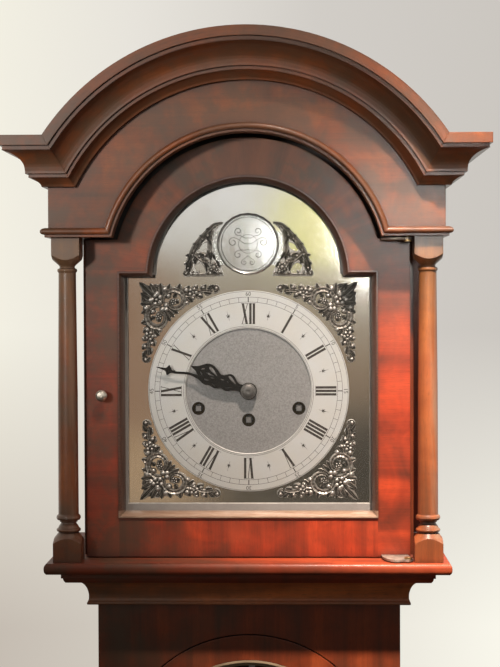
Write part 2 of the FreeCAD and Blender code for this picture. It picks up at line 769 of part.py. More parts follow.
dial_feet = [rod_y(x, z, pillar_radius / 2, dial_back, plate_front)
             for x in (-foot_x, foot_x) for z in (foot_z_low, foot_z_high)]
keep("dial_plate", fused([dial_plate] + dial_feet))
chapter_front = dial_front - chapter_thickness
chapter_ring = rod_y(0, dial_z, chapter_outer_radius, chapter_front, dial_front)
keep("chapter_ring", chapter_ring.cut(rod_y(0, dial_z, chapter_inner_radius, chapter_front - overrun,
                                            dial_front + overrun)))
boss_z = dial_z + boss_rise
boss_front = dial_front - boss_thickness
boss_points_shares = ((1.0, 1.0), (1.0, 0.55), (0.95, 0.12), (0.88, 0.30), (0.80, 0.30), (0.40, 0.06),
                      (0.01, 0.0))
boss_points = [(r * boss_radius, boss_front + h * boss_thickness) for r, h in boss_points_shares]
keep("arch_boss", turned_y(boss_points, 0, boss_z))
spandrel_front = dial_front - spandrel_thickness
spandrel_block = box(spandrel_inner, spandrel_outer, spandrel_front, dial_front,
                     spandrel_inner, spandrel_outer)
spandrel_block = spandrel_block.cut(rod_y(0, 0, chapter_outer_radius + spandrel_gap,
                                          spandrel_front - overrun, dial_front + overrun))
spandrels = []
for quarter in range(4):
    corner = spandrel_block.copy()
    corner.rotate(V(0, 0, 0), V(0, 1, 0), 90 * quarter)
    corner.translate(V(0, 0, dial_z))
    spandrels.append(corner)
keep("corner_spandrels", *spandrels)
arch_mount_bottom = springing_z - arch_mount_lift
arch_mount = box(-arch_mount_half, arch_mount_half, spandrel_front, dial_front,
                 arch_mount_bottom, arch_mount_bottom + arch_mount_height)
arch_mount = arch_mount.common(rod_y(0, springing_z, arch_mount_radius, spandrel_front, dial_front))
arch_mount = arch_mount.cut(rod_y(0, boss_z, boss_radius + spandrel_gap, spandrel_front - overrun,
                                  dial_front + overrun))
keep("arch_mounts", *arch_mount.Solids)


# Wheels with straight-flanked teeth, phased so that a tooth meets a gap on each line of centres
def gear(teeth, module, y0, y1, place, toward, gap=False):
    pitch = 2 * math.pi / teeth
    radius = module * teeth / 2
    tip = radius + module * addendum_share
    root = radius - module * dedendum_share
    aim = math.atan2(toward[1] - place[1], toward[0] - place[0]) + (pitch / 2 if gap else 0)
    points = []
    for n in range(teeth):
        middle = aim + n * pitch
        for reach, side in ((root, -tooth_root_share), (tip, -tooth_tip_share),
                            (tip, tooth_tip_share), (root, tooth_root_share)):
            angle = middle + side * pitch
            points.append((place[0] + reach * math.cos(angle), place[1] + reach * math.sin(angle)))
    return prism_y(points, y0, y1)


def crossed_out(wheel, root_radius, place, y0, y1, hub):
    """Cuts the spaces between the spokes of a wheel."""
    x, z = place
    ring = rod_y(x, z, root_radius - rim_width, y0 - overrun, y1 + overrun)
    ring = ring.cut(rod_y(x, z, hub + hub_wall, y0 - overrun, y1 + overrun))
    spokes = []
    for n in range(spoke_count // 2):
        spoke = box(-root_radius, root_radius, y0 - overrun, y1 + overrun, -spoke_width / 2, spoke_width / 2)
        spoke.rotate(V(0, 0, 0), V(0, 1, 0), 360 / spoke_count * n)
        spoke.translate(V(x, 0, z))
        spokes.append(spoke)
    return wheel.cut(ring.cut(fused(spokes)))


def train_wheel(place, wheel_y, toward, pinion_teeth, pinion_module, pinion_y, pinion_toward):
    """Arbor with a wheel and a pinion, its pivots running in both plates."""
    root = train_module * (train_teeth / 2 - dedendum_share)
    wheel_end = wheel_y + wheel_width
    wheel = gear(train_teeth, train_module, wheel_y, wheel_end, place, toward)
    wheel = crossed_out(wheel, root, place, wheel_y, wheel_end, arbor_radius)
    pinion = gear(pinion_teeth, pinion_module, pinion_y, pinion_y + pinion_width, place, pinion_toward, True)
    arbor = rod_y(place[0], place[1], arbor_radius, plate_front, plate_back)
    return fused([wheel, pinion, arbor])


centre_place = (0, dial_z)
train_distance = train_module * (train_teeth + train_pinion_teeth) / 2
third_lean = math.radians(third_angle)
third_place = (train_distance * math.cos(third_lean), dial_z + train_distance * math.sin(third_lean))
escape_place = (0, dial_z + 2 * train_distance * math.sin(third_lean))
anchor_place = (0, escape_place[1] + anchor_rise)
stud_place = (0, dial_z + centre_distance)
pinion_shift = (pinion_width - wheel_width) / 2
great_start = train_front + great_wheel_start
centre_pinion_start = great_start - (pinion_width - great_wheel_width) / 2
centre_start = train_front + centre_wheel_start
third_start = train_front + third_wheel_start
escape_start = train_front + escape_wheel_start
minute_front = dial_front - minute_hand_lift
centre_wheel = train_wheel(centre_place, centre_start, third_place, centre_pinion_teeth, going_module,
                           centre_pinion_start, winding_places["going"])
centre_arbor = rod_y(0, dial_z, arbor_radius, minute_front, plate_front)
keep("centre_wheel", fused([centre_wheel, centre_arbor]))
keep("third_wheel", train_wheel(third_place, third_start, escape_place, train_pinion_teeth, train_module,
                                centre_start - pinion_shift, centre_place))


def escape_solid():
    points = []
    pitch = 2 * math.pi / escape_teeth
    reaches = (escape_radius - escape_depth, escape_radius, escape_radius)
    for n in range(escape_teeth):
        lean = n * pitch
        for reach, share in zip(reaches, escape_tooth_shares):
            angle = lean + share * pitch
            points.append((reach * math.cos(angle), escape_place[1] + reach * math.sin(angle)))
    end = escape_start + wheel_width
    wheel = crossed_out(prism_y(points, escape_start, end), escape_radius - escape_depth, escape_place,
                        escape_start, end, arbor_radius)
    pinion_y = third_start - pinion_shift
    pinion = gear(train_pinion_teeth, train_module, pinion_y, pinion_y + pinion_width, escape_place,
                  third_place, True)
    return fused([wheel, pinion, rod_y(0, escape_place[1], arbor_radius, plate_front, plate_back)])


keep("escape_wheel", escape_solid())

# Anchor with crutch, and the pendulum on its suspension spring
pendulum_y = plate_back + pendulum_setback
pivot_z = anchor_place[1]
anchor_points_shares = ((0.0, 0.17), (0.54, -0.30), (0.53, -0.43), (0.45, -0.435), (0.36, -0.27),
                        (0.0, -0.17))
anchor_half = [(x * anchor_rise, pivot_z + z * anchor_rise) for x, z in anchor_points_shares]
anchor_outline = anchor_half + [(-x, z) for x, z in reversed(anchor_half[1:-1])]
anchor_start = escape_start - free_gap / 2
anchor_plate = prism_y(anchor_outline, anchor_start, anchor_start + anchor_thickness)
crutch_front = plate_back + crutch_width
crutch_back = crutch_front + crutch_width
crutch_low = pivot_z - crutch_drop
crutch_arm = box(-crutch_width / 2, crutch_width / 2, crutch_front, crutch_back, crutch_low, pivot_z)
rod_half = pendulum_rod_width / 2
fork_inner = rod_half + free_gap
fork_outer = fork_inner + crutch_width
fork_bar = box(-fork_outer, fork_outer, crutch_front, crutch_back, crutch_low - crutch_width, crutch_low)
fork_end = pendulum_y + fork_length / 2
fork_prong = box(fork_inner, fork_outer, crutch_back, fork_end, crutch_low - crutch_width, crutch_low)
anchor_arbor = rod_y(0, pivot_z, arbor_radius, plate_front, crutch_back)
keep("anchor_and_crutch", fused([anchor_plate, anchor_arbor, crutch_arm, fork_bar, fork_prong,
                                 mirrored(fork_prong)]))
bob_z = pivot_z - pendulum_length
bob_half = bob_thickness / 2
bob_points_shares = ((0.06, 1.0), (0.34, 0.94), (0.66, 0.74), (0.90, 0.46), (1.0, bob_edge_share))
bob_front = [(r * bob_radius, pendulum_y - d * bob_half) for r, d in bob_points_shares]
bob_rear = [(r * bob_radius, pendulum_y + d * bob_half) for r, d in reversed(bob_points_shares)]
rod_thick_half = pendulum_rod_thickness / 2
rod_top = pivot_z - spring_length
rod_foot = bob_z - bob_radius
screw_foot = rod_foot - rating_nut_height * 3
pendulum_rod = box(-rod_half, rod_half, pendulum_y - rod_thick_half, pendulum_y + rod_thick_half,
                   rod_foot, rod_top)
rating_screw = rod_z(0, pendulum_y, rating_screw_radius, screw_foot, rod_foot)
bob_slot = box(-rod_half, rod_half, pendulum_y - rod_thick_half, pendulum_y + rod_thick_half,
               rod_foot - overrun, bob_z + bob_radius + overrun)
keep("pendulum_rod", fused([pendulum_rod, rating_screw]))
keep("pendulum_bob", turned_y(bob_front + bob_rear, 0, bob_z).cut(bob_slot))
nut = rod_z(0, pendulum_y, rating_nut_radius, rod_foot - rating_nut_height, rod_foot)
keep("rating_nut", nut.cut(rating_screw))
cock_bottom = pivot_z + cock_lift
cock_top = cock_bottom + cock_height
spring_back = pendulum_y + spring_width / 2
pin_z = cock_top + suspension_pin_radius + suspension_pin_gap
suspension = box(-spring_thickness / 2, spring_thickness / 2, pendulum_y - spring_width / 2, spring_back,
                 rod_top, pin_z)
suspension_pin = rod_x(pendulum_y, pin_z, suspension_pin_radius, -suspension_pin_length / 2,
                       suspension_pin_length / 2)
keep("suspension_spring", fused([suspension, suspension_pin]))
cock_back = spring_back + crutch_width
cock_foot = box(-cock_width / 2, cock_width / 2, plate_back, plate_back + crutch_width - free_gap,
                cock_bottom, cock_top)
cock_arm = box(-cock_width / 4, cock_width / 4, plate_back, cock_back, cock_bottom, cock_top)
cock_slit = box(-spring_thickness / 2 - swing_gap, spring_thickness / 2 + swing_gap,
                pendulum_y - spring_width / 2 - free_gap, cock_back + overrun, cock_bottom - overrun,
                cock_top + overrun)
back_cock = fused([cock_foot, cock_arm]).cut(cock_slit)

# Barrels and winding arbors
barrel_front = train_front + barrel_start
barrel_back = barrel_front + barrel_length
winding_front = dial_front - winding_reach
square_end = winding_front + winding_square_length
for train, (x, z) in winding_places.items():
    bore = rod_y(x, z, winding_radius + running_gap, train_front - overrun, train_back + overrun)
    drum = rod_y(x, z, barrel_radius, barrel_front, barrel_back)
    neck = rod_y(x, z, winding_radius + hub_wall * 2, great_start, barrel_front)
    great_end = great_start + great_wheel_width
    great = gear(great_teeth, going_module, great_start, great_end, (x, z), centre_place)
    keep(train + "_barrel", fused([great, neck, drum]).cut(bore))
    shaft = rod_y(x, z, winding_radius, square_end, train_back)
    side = winding_square / 2
    square = box(x - side, x + side, winding_front, square_end, z - side, z + side)
    pivot = rod_y(x, z, arbor_radius, train_back, plate_back)
    keep("winding_arbor_" + train, fused([shaft, square, pivot]))

# Plates with pivot holes, pillars
plate_places = [centre_place, third_place, escape_place, anchor_place]


def plate_solid(y0, y1, winding_bore):
    plate = box(-plate_half, plate_half, y0, y1, movement_foot, dial_z + plate_top)
    for x, z in plate_places:
        plate = plate.cut(rod_y(x, z, arbor_radius + running_gap, y0 - overrun, y1 + overrun))
    for x, z in winding_places.values():
        plate = plate.cut(rod_y(x, z, winding_bore + running_gap, y0 - overrun, y1 + overrun))
    return plate


pillar_x = plate_half - pillar_inset
pillars = [rod_y(x, z, pillar_radius, train_front, train_back) for x in (-pillar_x, pillar_x)
           for z in (movement_foot + pillar_inset, dial_z + plate_top - pillar_inset)]
keep("back_plate", fused([plate_solid(train_back, plate_back, arbor_radius), back_cock] + pillars))

# Motion work between the front plate and the dial
wheel_back = plate_front - motion_start
wheel_layer = wheel_back - wheel_width
hour_layer_back = wheel_back - motion_layer
hour_layer = hour_layer_back - wheel_width
cannon_front = minute_front - hand_nut_height / 2
cannon_bore = rod_y(0, dial_z, arbor_radius + running_gap, cannon_front - overrun, plate_front + overrun)
cannon_leaves = gear(cannon_teeth, motion_module, wheel_layer - pinion_shift, wheel_back + pinion_shift,
                     centre_place, stud_place, True)
cannon_pipe = rod_y(0, dial_z, cannon_pipe_radius, minute_front - hand_thickness, wheel_back)
keep("cannon_pinion", fused([cannon_leaves, cannon_pipe]).cut(cannon_bore))
minute_wheel = gear(minute_wheel_teeth, motion_module, wheel_layer, wheel_back, stud_place, centre_place)
minute_leaves = gear(minute_pinion_teeth, hour_module, hour_layer - pinion_shift, wheel_layer, stud_place,
                     centre_place, True)
stud_bore = rod_y(0, stud_place[1], stud_radius + running_gap, hour_layer - overrun, plate_front + overrun)
keep("minute_wheel", fused([minute_wheel, minute_leaves]).cut(stud_bore))
minute_stud = rod_y(0, stud_place[1], stud_radius, hour_layer - wheel_width, plate_front)
keep("front_plate", fused([plate_solid(plate_front, train_front, winding_radius), minute_stud]))
hour_front = dial_front - hour_hand_lift
hour_wheel = gear(hour_wheel_teeth, hour_module, hour_layer, hour_layer_back, centre_place, stud_place)
hour_pipe = rod_y(0, dial_z, hour_pipe_radius, hour_front - hand_thickness, hour_layer_back)
hour_bore = rod_y(0, dial_z, cannon_pipe_radius + running_gap, hour_front - overrun * 2, plate_front)
keep("hour_wheel", fused([hour_wheel, hour_pipe]).cut(hour_bore))


def hand_solid(length, angle, back, hub_radius, bore):
    """Hand with a waved blade, a cross near the tip and a round hub, turned clockwise from twelve."""
    half = hand_blade_width / 2
    cross = hand_cross_width / 2
    right = [(half * w, length * h) for h, w in hand_shape_shares]
    last = length * hand_shape_shares[-1][0]
    tip = [(cross, last + half), (half * hand_shape_shares[0][1], last + hand_blade_width),
           (half / 4, length)]
    outline = right + tip
    outline += [(-x, z) for x, z in reversed(outline)]
    blade = prism_y(outline, back - hand_thickness, back)
    hand = fused([blade, rod_y(0, 0, hub_radius, back - hand_thickness, back)])
    hand = hand.cut(rod_y(0, 0, bore, back - overrun, back + overrun))
    hand.rotate(V(0, 0, 0), V(0, 1, 0), angle)
    hand.translate(V(0, 0, dial_z))
    return hand


keep("hour_hand", hand_solid(hour_hand_length, hour_hand_angle, hour_front, hand_hub_radius,
                             hour_pipe_radius))
keep("minute_hand", hand_solid(minute_hand_length, minute_hand_angle, minute_front, hand_hub_radius,
                               cannon_pipe_radius))
nut_back = minute_front - hand_thickness
hand_nut = turned_y([(hand_nut_radius, nut_back), (hand_nut_radius, nut_back - hand_nut_height / 2),
                     (hand_nut_radius / 2, nut_back - hand_nut_height)], 0, dial_z)
keep("hand_nut", hand_nut)

# Gong block with chime rods on the backboard, hammers on a bracket behind the seatboard
gong_top = seatboard_bottom - gong_block_drop + gong_block_height
gong_bottom = seatboard_bottom - gong_block_drop
rod_y_place = board_back - rod_setback
rod_last_x = rod_first_x + rod_pitch * (rod_count - 1)
gong_front = rod_y_place - gong_block_lip
gong_block = box(rod_first_x - gong_block_margin, rod_last_x + gong_block_margin, gong_front, board_back,
                 gong_bottom, gong_top)
rod_xs = [rod_first_x + rod_pitch * n for n in range(rod_count)]
chime_rods = [rod_z(x, rod_y_place, rod_radius, gong_bottom - rod_length, gong_bottom) for x in rod_xs]
keep("gong_block", gong_block)
keep("chime_rods", *chime_rods)
hammer_z = seatboard_bottom + hammer_arbor_drop
hammer_low = seatboard_bottom - hammer_head_drop
head_back = rod_y_place - rod_radius - hammer_rest_gap
head_front = head_back - hammer_head_length
hammer_y = (head_front + head_back) / 2
ear_reach = hammer_y + hammer_arbor_radius * 3
ear_inner_left = rod_first_x - gong_block_margin
ear_inner_right = rod_last_x + gong_block_margin
ears = [box(ear_inner_left - hammer_ear_width, ear_inner_left, seatboard_back, ear_reach,
            movement_foot - hammer_ear_height, movement_foot),
        box(ear_inner_right, ear_inner_right + hammer_ear_width, seatboard_back, ear_reach,
            movement_foot - hammer_ear_height, movement_foot)]
ear_bore = rod_x(hammer_y, hammer_z, hammer_arbor_radius + running_gap,
                 ear_inner_left - hammer_ear_width - overrun, ear_inner_right + hammer_ear_width + overrun)
keep("seatboard", fused([seatboard] + ears).cut(ear_bore))
hammer_arbor = rod_x(hammer_y, hammer_z, hammer_arbor_radius, ear_inner_left - hammer_ear_width,
                     ear_inner_right + hammer_ear_width)
hammer_parts = [hammer_arbor]
for x in rod_xs:
    hammer_parts.append(rod_z(x, hammer_y, hammer_arm_radius, hammer_low, hammer_z))
    hammer_parts.append(rod_y(x, hammer_low, hammer_head_radius, head_front, head_back))
keep("chime_hammers", fused(hammer_parts))

# Trunk door: frame, glass, bead, butt hinges and knob
trunk_door_back = trunk_front + trunk_door_thickness
trunk_glass_half = trunk_door_half - trunk_door_stile
trunk_glass_bottom = trunk_door_bottom + trunk_door_stile * 2
trunk_glass_front = trunk_front + trunk_glass_setback
trunk_sight_half = trunk_glass_half - trunk_bead_width
trunk_sight_bottom = trunk_glass_bottom + trunk_bead_width
trunk_door_frame = round_arch_plate(trunk_door_half, trunk_door_bottom, trunk_arch_z,
                                    trunk_front, trunk_door_back)
trunk_door_frame = trunk_door_frame.cut(round_arch_plate(trunk_glass_half, trunk_glass_bottom, trunk_arch_z,
                                                         trunk_front - overrun, trunk_door_back + overrun))
keep("trunk_door_frame", trunk_door_frame)
trunk_flare_front = round_arch(trunk_glass_half - trunk_bead_lip, trunk_glass_bottom + trunk_bead_lip,
                               trunk_arch_z, trunk_front)
trunk_flare_back = round_arch(trunk_sight_half, trunk_sight_bottom, trunk_arch_z, trunk_glass_front)
trunk_flare = Part.makeLoft([trunk_flare_front, trunk_flare_back], True, True)
trunk_bead = round_arch_plate(trunk_glass_half, trunk_glass_bottom, trunk_arch_z,
                              trunk_front, trunk_glass_front)
keep("trunk_sight_bead", trunk_bead.cut(trunk_flare))
keep("trunk_door_glass", round_arch_plate(trunk_glass_half - free_gap, trunk_glass_bottom + free_gap,
                                          trunk_arch_z, trunk_glass_front,
                                          trunk_glass_front + glass_thickness))
trunk_hinge_x = trunk_door_half + door_gap / 2
trunk_hinge_y = trunk_front - trunk_knuckle_radius - free_gap
knuckle_bore = trunk_pin_radius + running_gap
door_leaves, frame_leaves = [], []
for hinge_z in (trunk_door_bottom + trunk_hinge_inset, trunk_arch_z - trunk_hinge_inset):
    third = trunk_hinge_height / 3
    low, high = hinge_z, hinge_z + trunk_hinge_height
    leaf_back = trunk_front
    leaf_front = trunk_front - trunk_leaf_thickness
    mid_low, mid_high = low + third + slide_gap / 2, high - third - slide_gap / 2
    bore = rod_z(trunk_hinge_x, trunk_hinge_y, knuckle_bore, low - overrun, high + overrun)
    shell = rod_z(trunk_hinge_x, trunk_hinge_y, trunk_knuckle_radius, low, high)
    middle = box(-trunk_half, trunk_half, leaf_front - overrun * 2, leaf_back, mid_low, mid_high)
    outer = shell.cut(box(-trunk_half, trunk_half, leaf_front - overrun * 2, leaf_back,
                          mid_low - slide_gap / 2, mid_high + slide_gap / 2))
    frame_plate = box(trunk_hinge_x + trunk_knuckle_radius / 2, trunk_hinge_x + trunk_leaf_width, leaf_front,
                      leaf_back, low, high)
    door_plate_leaf = box(trunk_hinge_x - trunk_leaf_width, trunk_hinge_x - trunk_knuckle_radius / 2,
                          leaf_front, leaf_back, low, high)
    clear = rod_z(trunk_hinge_x, trunk_hinge_y, trunk_knuckle_radius + slide_gap,
                  low - overrun, high + overrun)
    frame_leaf = fused([frame_plate.cut(clear.common(middle)), outer])
    door_side = fused([door_plate_leaf.cut(clear.cut(middle)), shell.common(middle)])
    pin = rod_z(trunk_hinge_x, trunk_hinge_y, trunk_pin_radius, low, high)
    frame_leaves.append(fused([frame_leaf, pin]))
    door_leaves.append(door_side.cut(bore))
keep("trunk_hinge_door_leaves", *door_leaves)
keep("trunk_hinge_frame_leaves", *frame_leaves)
keep("trunk_door_knob", knob_solid(-trunk_door_half + trunk_knob_inset, trunk_front,
                                   (trunk_door_bottom + trunk_arch_z) / 2))

os.makedirs("parts", exist_ok=True)
for name, shape in parts.items():
    shape.exportStep("parts/" + name + ".step")
    print(name, len(shape.Solids), shape.isValid(), round(shape.Volume, 1))
print("nodes", len(parts))
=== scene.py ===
import math

import bmesh
import bpy
from bpy.props import FloatProperty, FloatVectorProperty, IntProperty, PointerProperty
from mathutils import Matrix, Vector


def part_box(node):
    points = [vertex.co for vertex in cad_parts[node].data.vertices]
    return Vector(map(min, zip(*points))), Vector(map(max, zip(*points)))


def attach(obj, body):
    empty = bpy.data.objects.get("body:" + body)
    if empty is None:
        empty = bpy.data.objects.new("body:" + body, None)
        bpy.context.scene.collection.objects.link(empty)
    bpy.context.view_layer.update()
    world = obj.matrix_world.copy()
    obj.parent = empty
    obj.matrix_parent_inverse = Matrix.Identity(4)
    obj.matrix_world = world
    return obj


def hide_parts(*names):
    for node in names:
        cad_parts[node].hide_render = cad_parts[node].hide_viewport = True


bl_info = {
    "name": "Grandmother Clock",
    "version": (1, 0, 0),
    "blender": (4, 5, 0),
    "location": "View3D > Sidebar > Clock",
    "description": "Finishes, dial work and studio for a mahogany grandmother clock",
    "category": "Object",
}

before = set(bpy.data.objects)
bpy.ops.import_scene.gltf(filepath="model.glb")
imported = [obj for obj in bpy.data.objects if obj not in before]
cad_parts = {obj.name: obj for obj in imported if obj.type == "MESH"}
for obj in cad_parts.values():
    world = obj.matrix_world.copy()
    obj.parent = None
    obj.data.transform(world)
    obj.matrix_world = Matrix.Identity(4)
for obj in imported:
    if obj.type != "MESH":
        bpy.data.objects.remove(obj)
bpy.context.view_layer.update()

MM = 0.001
FULL_TURN = 2 * math.pi
RING_LOW, RING_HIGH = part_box("chapter_ring")
DIAL_X = (RING_LOW.x + RING_HIGH.x) / 2
DIAL_Z = (RING_LOW.z + RING_HIGH.z) / 2
RING_RADIUS = (RING_HIGH.x - RING_LOW.x) / 2
RING_BORE = RING_RADIUS * 56.0 / 90.0
RING_FRONT = RING_LOW.y
DIAL_FRONT = RING_HIGH.y
BOSS_LOW, BOSS_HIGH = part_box("arch_boss")
BOSS_Z = (BOSS_LOW.z + BOSS_HIGH.z) / 2
BOSS_RADIUS = (BOSS_HIGH.x - BOSS_LOW.x) / 2
BOSS_DEPTH = DIAL_FRONT - BOSS_LOW.y
GLASS_LOW, GLASS_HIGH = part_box("hood_door_glass")
DIAL_ARCH_RISE = 84 * MM
CORNICE_RADIUS = 205.6 * MM
SPRINGING_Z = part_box("dial_plate")[1].z - DIAL_ARCH_RISE
ARCH_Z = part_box("cornice_arch")[1].z - CORNICE_RADIUS


class ClockSizes(bpy.types.PropertyGroup):
    numeral_inner: FloatProperty(
        name="Numeral inner radius", description="Radius where the hour numerals begin",
        default=60.0 * MM, unit="LENGTH")
    numeral_outer: FloatProperty(
        name="Numeral outer radius", description="Radius where the hour numerals end",
        default=78.4 * MM, unit="LENGTH")
    track_inner: FloatProperty(
        name="Minute track inner radius", description="Inner circle of the minute track",
        default=79.6 * MM, unit="LENGTH")
    track_outer: FloatProperty(
        name="Minute track outer radius", description="Outer circle of the minute track",
        default=84.0 * MM, unit="LENGTH")
    engraving_width: FloatProperty(
        name="Engraving width", description="Width of the fine engraved circles",
        default=0.30 * MM, unit="LENGTH")
    engraving_rise: FloatProperty(
        name="Wax rise", description="How far the black wax stands proud of the ring",
        default=0.06 * MM, unit="LENGTH")
    casting_rise: FloatProperty(
        name="Casting relief", description="Height of the scrolls on the corner castings",
        default=4.0 * MM, unit="LENGTH")
    minute_angle: FloatProperty(
        name="Minute hand angle", description="Angle clockwise from twelve, as the packed hand stands",
        default=math.radians(285.0), subtype="ANGLE")
    hour_angle: FloatProperty(
        name="Hour hand angle", description="Angle clockwise from twelve, as the packed hand stands",
        default=math.radians(293.75), subtype="ANGLE")
    turning_steps: IntProperty(
        name="Turning steps", description="Segments round turned pieces", default=96, min=24)


class ClockFinishes(bpy.types.PropertyGroup):
    wood_dark: FloatVectorProperty(
        name="Dark figure", description="Dark streaks of the mahogany", subtype="COLOR",
        default=(0.135, 0.019, 0.007))
    wood_middle: FloatVectorProperty(
        name="Body colour", description="Main colour of the mahogany", subtype="COLOR",
        default=(0.380, 0.040, 0.011))
    wood_light: FloatVectorProperty(
        name="Light figure", description="Light streaks of the mahogany", subtype="COLOR",
        default=(0.640, 0.074, 0.020))
    brass: FloatVectorProperty(
        name="Brass", description="Polished brass", subtype="COLOR", default=(0.72, 0.50, 0.24))
    silvering: FloatVectorProperty(
        name="Silvering", description="Silvered ring and boss", subtype="COLOR", default=(0.63, 0.655, 0.655))
    matting: FloatVectorProperty(
        name="Matted centre", description="Matted middle of the dial", subtype="COLOR", default=(0.335, 0.335, 0.33))
    casting: FloatVectorProperty(
        name="Casting", description="Oxidised hollows of the castings", subtype="COLOR",
        default=(0.045, 0.038, 0.030))
    hand: FloatVectorProperty(
        name="Hand steel", description="Darkened steel of the hands", subtype="COLOR",
        default=(0.022, 0.018, 0.015))
    wax: FloatVectorProperty(
        name="Wax", description="Black wax in the engraving", subtype="COLOR", default=(0.024, 0.019, 0.015))


def sizes():
    return bpy.context.scene.clock_sizes


def finishes():
    return bpy.context.scene.clock_finishes


def opaque(colour):
    return (*colour, 1.0)


def toned(colour, share):
    return [value * share for value in colour]


def set_up(thing, **settings):
    """Gives a thing its settings, in their order, and returns it."""
    for key, value in settings.items():
        setattr(thing, key, value)
    return thing


def polar(centre, radius, angle):
    """Point at an angle from the first axis towards the second."""
    return centre[0] + radius * math.cos(angle), centre[1] + radius * math.sin(angle)


class Paint:
    """The nodes of a material or world, with short calls for those that the finishes use."""

    def __init__(self, holder, coordinates="Object"):
        holder.use_nodes = True
        self.holder, self.tree = holder, holder.node_tree
        self.tree.nodes.clear()
        self.coords = self.put("TexCoord").outputs[coordinates]
        self.x, self.y, self.z = self.put("SeparateXYZ", {0: self.coords}).outputs

    def put(self, kind, inputs=None, **settings):
        """Adds a node with its settings, and links or sets its inputs."""
        node = set_up(self.tree.nodes.new("ShaderNode" + kind), **settings)
        for key, value in (inputs or {}).items():
            if isinstance(value, bpy.types.NodeSocket):
                self.tree.links.new(value, node.inputs[key])
            else:
                node.inputs[key].default_value = value
        return node

    def calc(self, operation, *values):
        return self.put("Math", dict(enumerate(values)), operation=operation).outputs[0]

    def times(self, one, two):
        return self.calc("MULTIPLY", one, two)

    def line(self, value, slope, start):
        """Start plus slope times the value."""
        return self.calc("MULTIPLY_ADD", value, slope, start)

    def choose(self, factor, first, second, kind="RGBA"):
        """First where the factor is 0, second where it is 1."""
        index, out = {"FLOAT": (2, 0), "RGBA": (6, 2)}[kind]
        return self.put("Mix", {0: factor, index: first, index + 1: second}, data_type=kind).outputs[out]

    def ramp(self, factor, *stops):
        """Colours or grey shares at the given places of a factor."""
        node = self.put("ValToRGB", {0: factor})
        steps = node.color_ramp.elements
        while len(steps) < len(stops):
            steps.new(1.0)
        for step, (place, colour) in zip(steps, stops):
            step.position = place
            step.color = opaque(colour if hasattr(colour, "__len__") else (colour,) * 3)
        return node.outputs[0]

    def between(self, value, start, end, low=0.0, high=1.0):
        return self.put("MapRange", {0: value, 1: start, 2: end, 3: low, 4: high}).outputs[0]

    def noise(self, vector, scale, detail=3.0, roughness=0.55, distortion=0.0):
        return self.put("TexNoise", {"Vector": vector, "Scale": scale, "Detail": detail, "Roughness": roughness,
                                     "Distortion": distortion}).outputs["Fac"]

    def streaks(self, axes, scales, detail=2.0, roughness=0.55, distortion=0.0):
        """Noise stretched along three axes by their own scales."""
        parts = [self.times(axis, scale) for axis, scale in zip(axes, scales)]
        vector = self.put("CombineXYZ", dict(enumerate(parts))).outputs[0]
        return self.noise(vector, 1.0, detail, roughness, distortion)

    def around(self, centre_x, centre_z):
        """Distance and angle about a front-to-back axis."""
        side = self.calc("SUBTRACT", self.x, centre_x)
        rise = self.calc("SUBTRACT", self.z, centre_z)
        squares = self.calc("ADD", self.times(side, side), self.times(rise, rise))
        return self.calc("SQRT", squares), self.calc("ARCTAN2", side, rise)

    def below(self, value, limit):
        return self.calc("LESS_THAN", value, limit)

    def hollow(self, reach, samples=6):
        """Share of open sky within a reach, low in corners."""
        return self.put("AmbientOcclusion", {"Distance": reach}, samples=samples).outputs["AO"]

    def softened(self, radius):
        return self.put("Bevel", {"Radius": radius}, samples=4).outputs[0]

    def bump(self, height, strength, depth, normal=None):
        inputs = {"Height": height, "Strength": strength, "Distance": depth}
        if normal:
            inputs["Normal"] = normal
        return self.put("Bump", inputs).outputs[0]

    def finish(self, **inputs):
        """Shows one surface with the given inputs, their names with _ for a space, and returns the material."""
        named = {key.replace("_", " "): value for key, value in inputs.items()}
        surface = self.put("BsdfPrincipled", named)
        self.put("OutputMaterial", {0: surface.outputs[0]})
        return self.holder


def begin(name):
    """Paint of a new material, in the clock's own frame in metres."""
    return Paint(bpy.data.materials.new(name))


# Noise scales of the wood along the grain, across it and into the board
RIBBON_SCALES, FIBRE_SCALES = (5.0, 44.0, 30.0), (9.0, 520.0, 520.0)
MOTTLE_SCALES, PORE_SCALES = (34.0, 22.0, 22.0), (130.0, 1900.0, 1900.0)
SHEEN_STREAK_SCALES = (11.0, 110.0, 70.0)
FIBRE_SHARE, PORE_SHARE = 0.12, 0.40
# Heights over which the upper wood turns browner and hazier as painted reflection, and the door head gets painted shade
UPPER_SHEEN_HEIGHTS = (SPRINGING_Z - 80 * MM, SPRINGING_Z + 50 * MM)
SHADED = (SPRINGING_Z + 20 * MM, SPRINGING_Z + 85 * MM)
UPPER_SHEEN_TINT = (0.80, 1.45, 1.12, 1.0)
# First the dull grey-brown laid on the wood as painted reflection and painted shade, then the pale colour of the
# painted reflection streaks on the columns.
SHEEN_AND_SHADE_HAZE, SHEEN_STREAK = (0.124, 0.075, 0.044), (0.40, 0.235, 0.150)
# Shares of that haze: stronger and paler on the columns as painted reflection, darker on the door as painted shade.
SHEEN_AND_SHADE_SHARES = {"turned": 1.7, "crossbanded": 0.85}
ARC_RADIUS = 0.16
JOINT = 2 * MM


def grain_axes(paint, way):
    """Sockets along the grain, across it and into the board."""
    x, y, z = paint.x, paint.y, paint.z
    if way in ("upright", "turned"):
        return z, x, y
    if way == "level":
        return x, z, y
    if way == "fore_and_aft":
        return y, z, x
    reach, angle = paint.around(0.0, ARCH_Z)
    arc = paint.times(angle, ARC_RADIUS)
    if way == "arched":
        return arc, reach, y
    rail = paint.times(paint.below(z, GLASS_LOW.z - JOINT), paint.below(paint.calc("ABSOLUTE", x), GLASS_HIGH.x))
    head = paint.calc("GREATER_THAN", z, SPRINGING_Z + JOINT)
    along = paint.choose(head, paint.choose(rail, x, z, "FLOAT"), reach, "FLOAT")
    across = paint.choose(head, paint.choose(rail, z, x, "FLOAT"), arc, "FLOAT")
    return along, across, y


